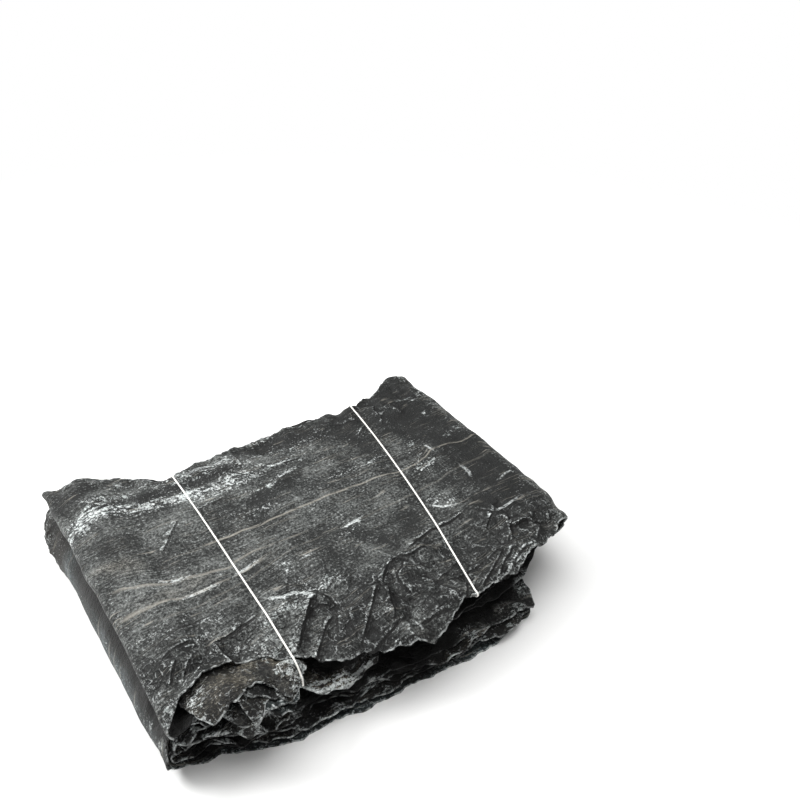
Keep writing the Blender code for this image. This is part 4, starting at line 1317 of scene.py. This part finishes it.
def twine_tree(material):
    """Lays twisted plies round a curve, with named sizes."""
    tree = bpy.data.node_groups.new("plied_twine", "GeometryNodeTree")
    face = tree.interface
    face.new_socket("Geometry", in_out="INPUT", socket_type="NodeSocketGeometry")
    for name, kind, value in (("Plies", "NodeSocketInt", 3), ("Turns", "NodeSocketFloat", 100.0),
                              ("Ply radius", "NodeSocketFloat", 0.0003),
                              ("Lay radius", "NodeSocketFloat", 0.0003),
                              ("Spacing", "NodeSocketFloat", 0.0006)):
        face.new_socket(name, in_out="INPUT", socket_type=kind).default_value = value
    face.new_socket("Geometry", in_out="OUTPUT", socket_type="NodeSocketGeometry")
    given = add(tree, "NodeGroupInput").outputs
    even = add(tree, "GeometryNodeResampleCurve",
               {"Curve": given["Geometry"], "Length": given["Spacing"]}, mode="LENGTH")
    copies = add(tree, "GeometryNodeDuplicateElements",
                 {"Geometry": even.outputs[0], "Amount": given["Plies"]}, domain="SPLINE")
    share = add(tree, "ShaderNodeMath",
                {0: copies.outputs["Duplicate Index"], 1: given["Plies"]}, operation="DIVIDE")
    factor = add(tree, "GeometryNodeSplineParameter").outputs["Factor"]
    turned = add(tree, "ShaderNodeMath", {0: factor, 1: given["Turns"], 2: share.outputs[0]},
                 operation="MULTIPLY_ADD")
    angle = add(tree, "ShaderNodeMath", {0: turned.outputs[0], 1: 2 * math.pi},
                operation="MULTIPLY").outputs[0]
    normal = add(tree, "GeometryNodeInputNormal").outputs[0]
    tangent = add(tree, "GeometryNodeInputTangent").outputs[0]
    side = add(tree, "ShaderNodeVectorMath", {0: tangent, 1: normal}, operation="CROSS_PRODUCT")
    parts = []
    for turn, direction in (("COSINE", normal), ("SINE", side.outputs[0])):
        amount = add(tree, "ShaderNodeMath", {0: angle}, operation=turn)
        parts.append(add(tree, "ShaderNodeVectorMath",
                         {0: direction, "Scale": amount.outputs[0]}, operation="SCALE"))
    around = add(tree, "ShaderNodeVectorMath", {0: parts[0].outputs[0], 1: parts[1].outputs[0]})
    offset = add(tree, "ShaderNodeVectorMath",
                 {0: around.outputs[0], "Scale": given["Lay radius"]}, operation="SCALE")
    laid = add(tree, "GeometryNodeSetPosition",
               {"Geometry": copies.outputs["Geometry"], "Offset": offset.outputs[0]})
    ring = add(tree, "GeometryNodeCurvePrimitiveCircle",
               {"Resolution": 7, "Radius": given["Ply radius"]})
    tube = add(tree, "GeometryNodeCurveToMesh",
               {"Curve": laid.outputs[0], "Profile Curve": ring.outputs[0]})
    smooth = add(tree, "GeometryNodeSetShadeSmooth", {"Geometry": tube.outputs[0]})
    real = add(tree, "GeometryNodeRealizeInstances", {"Geometry": smooth.outputs[0]})
    coated = add(tree, "GeometryNodeSetMaterial",
                 {"Geometry": real.outputs[0], "Material": material})
    add(tree, "NodeGroupOutput", {"Geometry": coated.outputs[0]})
    return tree


def set_input(modifier, name, value):
    """Sets a modifier's input by its socket's identifier."""
    for item in modifier.node_group.interface.items_tree:
        if item.name == name and getattr(item, "in_out", "") == "INPUT":
            modifier[item.identifier] = value


def tie_thread(name, points, trees, tree, settings):
    """Ties one thread of twisted plies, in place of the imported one."""
    route = thread_route(points, trees, 0.5 * settings.diameter / MM)
    gaps = np.linalg.norm(route - np.roll(route, 1, axis=0), axis=1)
    curve = bpy.data.curves.new(name, "CURVE")
    curve.dimensions = "3D"
    spline = curve.splines.new("POLY")
    spline.points.add(len(route) - 1)
    for point, place in zip(spline.points, (route + np.array(DESIGN_SHIFT)) * MM):
        point.co = (*place, 1.0)
    spline.use_cyclic_u = True
    item = bpy.data.objects.new("cotton_" + name, curve)
    bpy.context.scene.collection.objects.link(item)
    lay = item.modifiers.new("plied_twine", "NODES")
    lay.node_group = tree
    set_input(lay, "Plies", settings.plies)
    set_input(lay, "Turns", float(round(gaps.sum() * MM / settings.lay_length)))
    set_input(lay, "Ply radius", PLY_SHARE * settings.diameter)
    set_input(lay, "Lay radius", LAY_SHARE * settings.diameter)
    item = finished(item)
    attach(item, "root")
    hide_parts(name)


# ------------------------------------------------------------------ settings
class KelpBladeSettings(PropertyGroup):
    thickness: FloatProperty(
        name="Thickness", description="Thickness of a dried blade",
        default=0.0009, min=0.0003, max=0.0014, subtype="DISTANCE", unit="LENGTH")
    crush: FloatProperty(
        name="Crush", description="How crumpled the margins are", default=1.0, min=0.0, max=2.0,
        subtype="FACTOR")


class CottonThreadSettings(PropertyGroup):
    diameter: FloatProperty(
        name="Diameter", description="Diameter of the twine over its plies",
        default=0.0012, min=0.0005, max=0.002, subtype="DISTANCE", unit="LENGTH")
    lay_length: FloatProperty(
        name="Lay length", description="Length of twine in which a ply turns once",
        default=0.0045, min=0.002, max=0.02, subtype="DISTANCE", unit="LENGTH")
    plies: IntProperty(name="Plies", description="Yarns twisted together", default=3, min=2, max=4)
    colour: FloatVectorProperty(
        name="Colour", description="Colour of the bleached cotton", size=3, min=0.0, max=1.0,
        subtype="COLOR", default=linear("#fbfaf6"))


class KelpStageSettings(PropertyGroup):
    floor_colour: FloatVectorProperty(
        name="Floor colour", description="Colour of the plain floor", size=3, min=0.0, max=1.0,
        subtype="COLOR", default=linear("#f3f3f2"))
    key_power: FloatProperty(
        name="Key light", description="Power of the soft light at the back left", default=24.0,
        min=0.0, max=500.0, subtype="POWER", unit="POWER")
    top_power: FloatProperty(
        name="Overhead light", description="Power of the wide light straight above",
        default=22.0, min=0.0, max=500.0, subtype="POWER", unit="POWER")
    fill_power: FloatProperty(
        name="Fill light", description="Power of the weaker light at the front left", default=2.5,
        min=0.0, max=500.0, subtype="POWER", unit="POWER")


# ----------------------------------------------------------------- operators
class KELP_OT_lay_blades(Operator):
    """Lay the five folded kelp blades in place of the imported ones"""
    bl_idname = "kelp.lay_blades"
    bl_label = "Lay kelp blades"

    def execute(self, context):
        for blade in range(BLADE_COUNT):
            lay_blade(blade, context.scene.kelp_blades)
        return {"FINISHED"}


class KELP_OT_tie_threads(Operator):
    """Tie the two cotton threads round the top layer"""
    bl_idname = "kelp.tie_threads"
    bl_label = "Tie cotton threads"

    def execute(self, context):
        graph = context.evaluated_depsgraph_get()
        trees = [BVHTree.FromObject(bpy.data.objects["kelp_" + name], graph)
                 for name in BLADE_NAMES]
        settings = context.scene.cotton_threads
        tree = twine_tree(cotton_material(settings))
        for name, points in THREADS:
            tie_thread(name, points, trees, tree, settings)
        return {"FINISHED"}


CAMERA_PLACE = (-0.22382, -0.42136, 0.45351)
CAMERA_AZIMUTH = -34.0637
CAMERA_ELEVATION = 33.4723
CAMERA_ROLL = 1.71396
CAMERA_LENS = 42.95
FLOOR_SIZE = 9.0
FLOOR_NEAR, FLOOR_FAR = 0.45, 0.85 # where the board runs into the white of the room
SKY_LIGHT = 0.26                   # strength of the pale room's light on the bundle
# Soft square lights: name, place, what each looks at, side, and its power's setting.
LIGHTS = (("key", (-0.75, 0.7, 0.95), (0.0, 0.0, 0.0), 0.8, "key_power"),
          ("overhead", (0.1, 0.1, 1.4), (0.0, 0.0, 0.0), 1.4, "top_power"),
          ("fill", (-0.75, -0.95, 0.85), (0.0, 0.0, 0.03), 0.7, "fill_power"))


def soft_light(name, place, target, side, power):
    lamp = bpy.data.lights.new(name, "AREA")
    lamp.shape = "SQUARE"
    lamp.size = side
    lamp.energy = power
    item = bpy.data.objects.new(name, lamp)
    bpy.context.scene.collection.objects.link(item)
    item.location = place
    item.rotation_euler = (Vector(target) - Vector(place)).to_track_quat("-Z", "Y").to_euler()


def lay_floor(colour):
    """A matt board that runs into the white of the room some way off."""
    material, tree = new_material("painted_matt_board")
    board = add(tree, "ShaderNodeBsdfPrincipled",
                {"Base Color": (*colour, 1.0), "Roughness": 0.9})
    place = add(tree, "ShaderNodeTexCoord").outputs["Object"]
    away = add(tree, "ShaderNodeVectorMath", {0: place}, operation="LENGTH").outputs["Value"]
    far = add(tree, "ShaderNodeMapRange",
              {"Value": away, "From Min": FLOOR_NEAR, "From Max": FLOOR_FAR},
              interpolation_type="SMOOTHSTEP").outputs[0]
    seen = add(tree, "ShaderNodeLightPath").outputs["Is Camera Ray"]
    share = add(tree, "ShaderNodeMath", {0: far, 1: seen}, operation="MULTIPLY").outputs[0]
    white = add(tree, "ShaderNodeEmission", {"Color": (1, 1, 1, 1), "Strength": 1.0})
    both = add(tree, "ShaderNodeMixShader",
               {0: share, 1: board.outputs[0], 2: white.outputs[0]})
    add(tree, "ShaderNodeOutputMaterial", {"Surface": both.outputs[0]})
    half = FLOOR_SIZE / 2
    mesh = bpy.data.meshes.new("floor")
    corners = [(-half, -half, 0), (half, -half, 0), (half, half, 0), (-half, half, 0)]
    mesh.from_pydata(corners, [], [(0, 1, 2, 3)])
    mesh.materials.append(material)
    floor = bpy.data.objects.new("floor", mesh)
    bpy.context.scene.collection.objects.link(floor)


def pale_world():
    """A white room, whose light on the bundle is weaker than it looks."""
    world = bpy.data.worlds.new("studio")
    world.use_nodes = True
    sky = world.node_tree
    seen = add(sky, "ShaderNodeLightPath").outputs["Is Camera Ray"]
    strength = add(sky, "ShaderNodeMapRange",
                   {"Value": seen, "To Min": SKY_LIGHT, "To Max": 1.0}).outputs[0]
    pale = sky.nodes["Background"]
    pale.inputs["Color"].default_value = (1, 1, 1, 1)
    sky.links.new(strength, pale.inputs["Strength"])
    return world


def view_of_bundle():
    """The camera, turned by its azimuth, elevation and roll."""
    azimuth, elevation, roll = (math.radians(angle) for angle in
                                (CAMERA_AZIMUTH, CAMERA_ELEVATION, CAMERA_ROLL))
    back = Vector((math.sin(azimuth) * math.cos(elevation),
                   -math.cos(azimuth) * math.cos(elevation), math.sin(elevation)))
    right = (-back).cross(Vector((0, 0, 1))).normalized()
    up = right.cross(-back)
    turned_right = right * math.cos(roll) + up * math.sin(roll)
    turned_up = up * math.cos(roll) - right * math.sin(roll)
    view = bpy.data.cameras.new("camera")
    view.lens = CAMERA_LENS
    view.clip_start = 0.01
    camera = bpy.data.objects.new("camera", view)
    bpy.context.scene.collection.objects.link(camera)
    turn = Matrix((turned_right, turned_up, back)).transposed().to_4x4()
    camera.matrix_world = Matrix.Translation(CAMERA_PLACE) @ turn
    return camera


class KELP_OT_set_stage(Operator):
    """Set the plain floor, the soft lights and the camera"""
    bl_idname = "kelp.set_stage"
    bl_label = "Set stage"

    def execute(self, context):
        scene, settings = context.scene, context.scene.kelp_stage
        lay_floor(settings.floor_colour)
        for name, place, target, side, power in LIGHTS:
            soft_light(name, place, target, side, getattr(settings, power))
        scene.world = pale_world()
        scene.camera = view_of_bundle()
        scene.view_settings.view_transform = "Standard"
        return {"FINISHED"}


class KELP_PT_bundle(Panel):
    """Sizes and steps of the kelp bundle"""
    bl_idname = "KELP_PT_bundle"
    bl_label = "Dried kelp bundle"
    bl_space_type = "VIEW_3D"
    bl_region_type = "UI"
    bl_category = "Kelp"

    def draw(self, context):
        for group, keys, action in (
                (context.scene.kelp_blades, ("thickness", "crush"), KELP_OT_lay_blades),
                (context.scene.cotton_threads, ("diameter", "lay_length", "plies", "colour"),
                 KELP_OT_tie_threads),
                (context.scene.kelp_stage, ("floor_colour", "key_power", "top_power", "fill_power"),
                 KELP_OT_set_stage)):
            box = self.layout.box()
            for key in keys:
                box.prop(group, key)
            box.operator(action.bl_idname)


CLASSES = (KelpBladeSettings, CottonThreadSettings, KelpStageSettings, KELP_OT_lay_blades,
           KELP_OT_tie_threads, KELP_OT_set_stage, KELP_PT_bundle)


def register():
    for item in CLASSES:
        bpy.utils.register_class(item)
    bpy.types.Scene.kelp_blades = PointerProperty(type=KelpBladeSettings)
    bpy.types.Scene.cotton_threads = PointerProperty(type=CottonThreadSettings)
    bpy.types.Scene.kelp_stage = PointerProperty(type=KelpStageSettings)


def unregister():
    del bpy.types.Scene.kelp_stage
    del bpy.types.Scene.cotton_threads
    del bpy.types.Scene.kelp_blades
    for item in reversed(CLASSES):
        bpy.utils.unregister_class(item)


def main():
    register()
    bpy.ops.kelp.lay_blades()
    bpy.ops.kelp.tie_threads()
    bpy.ops.kelp.set_stage()


if __name__ == "__main__":
    main()
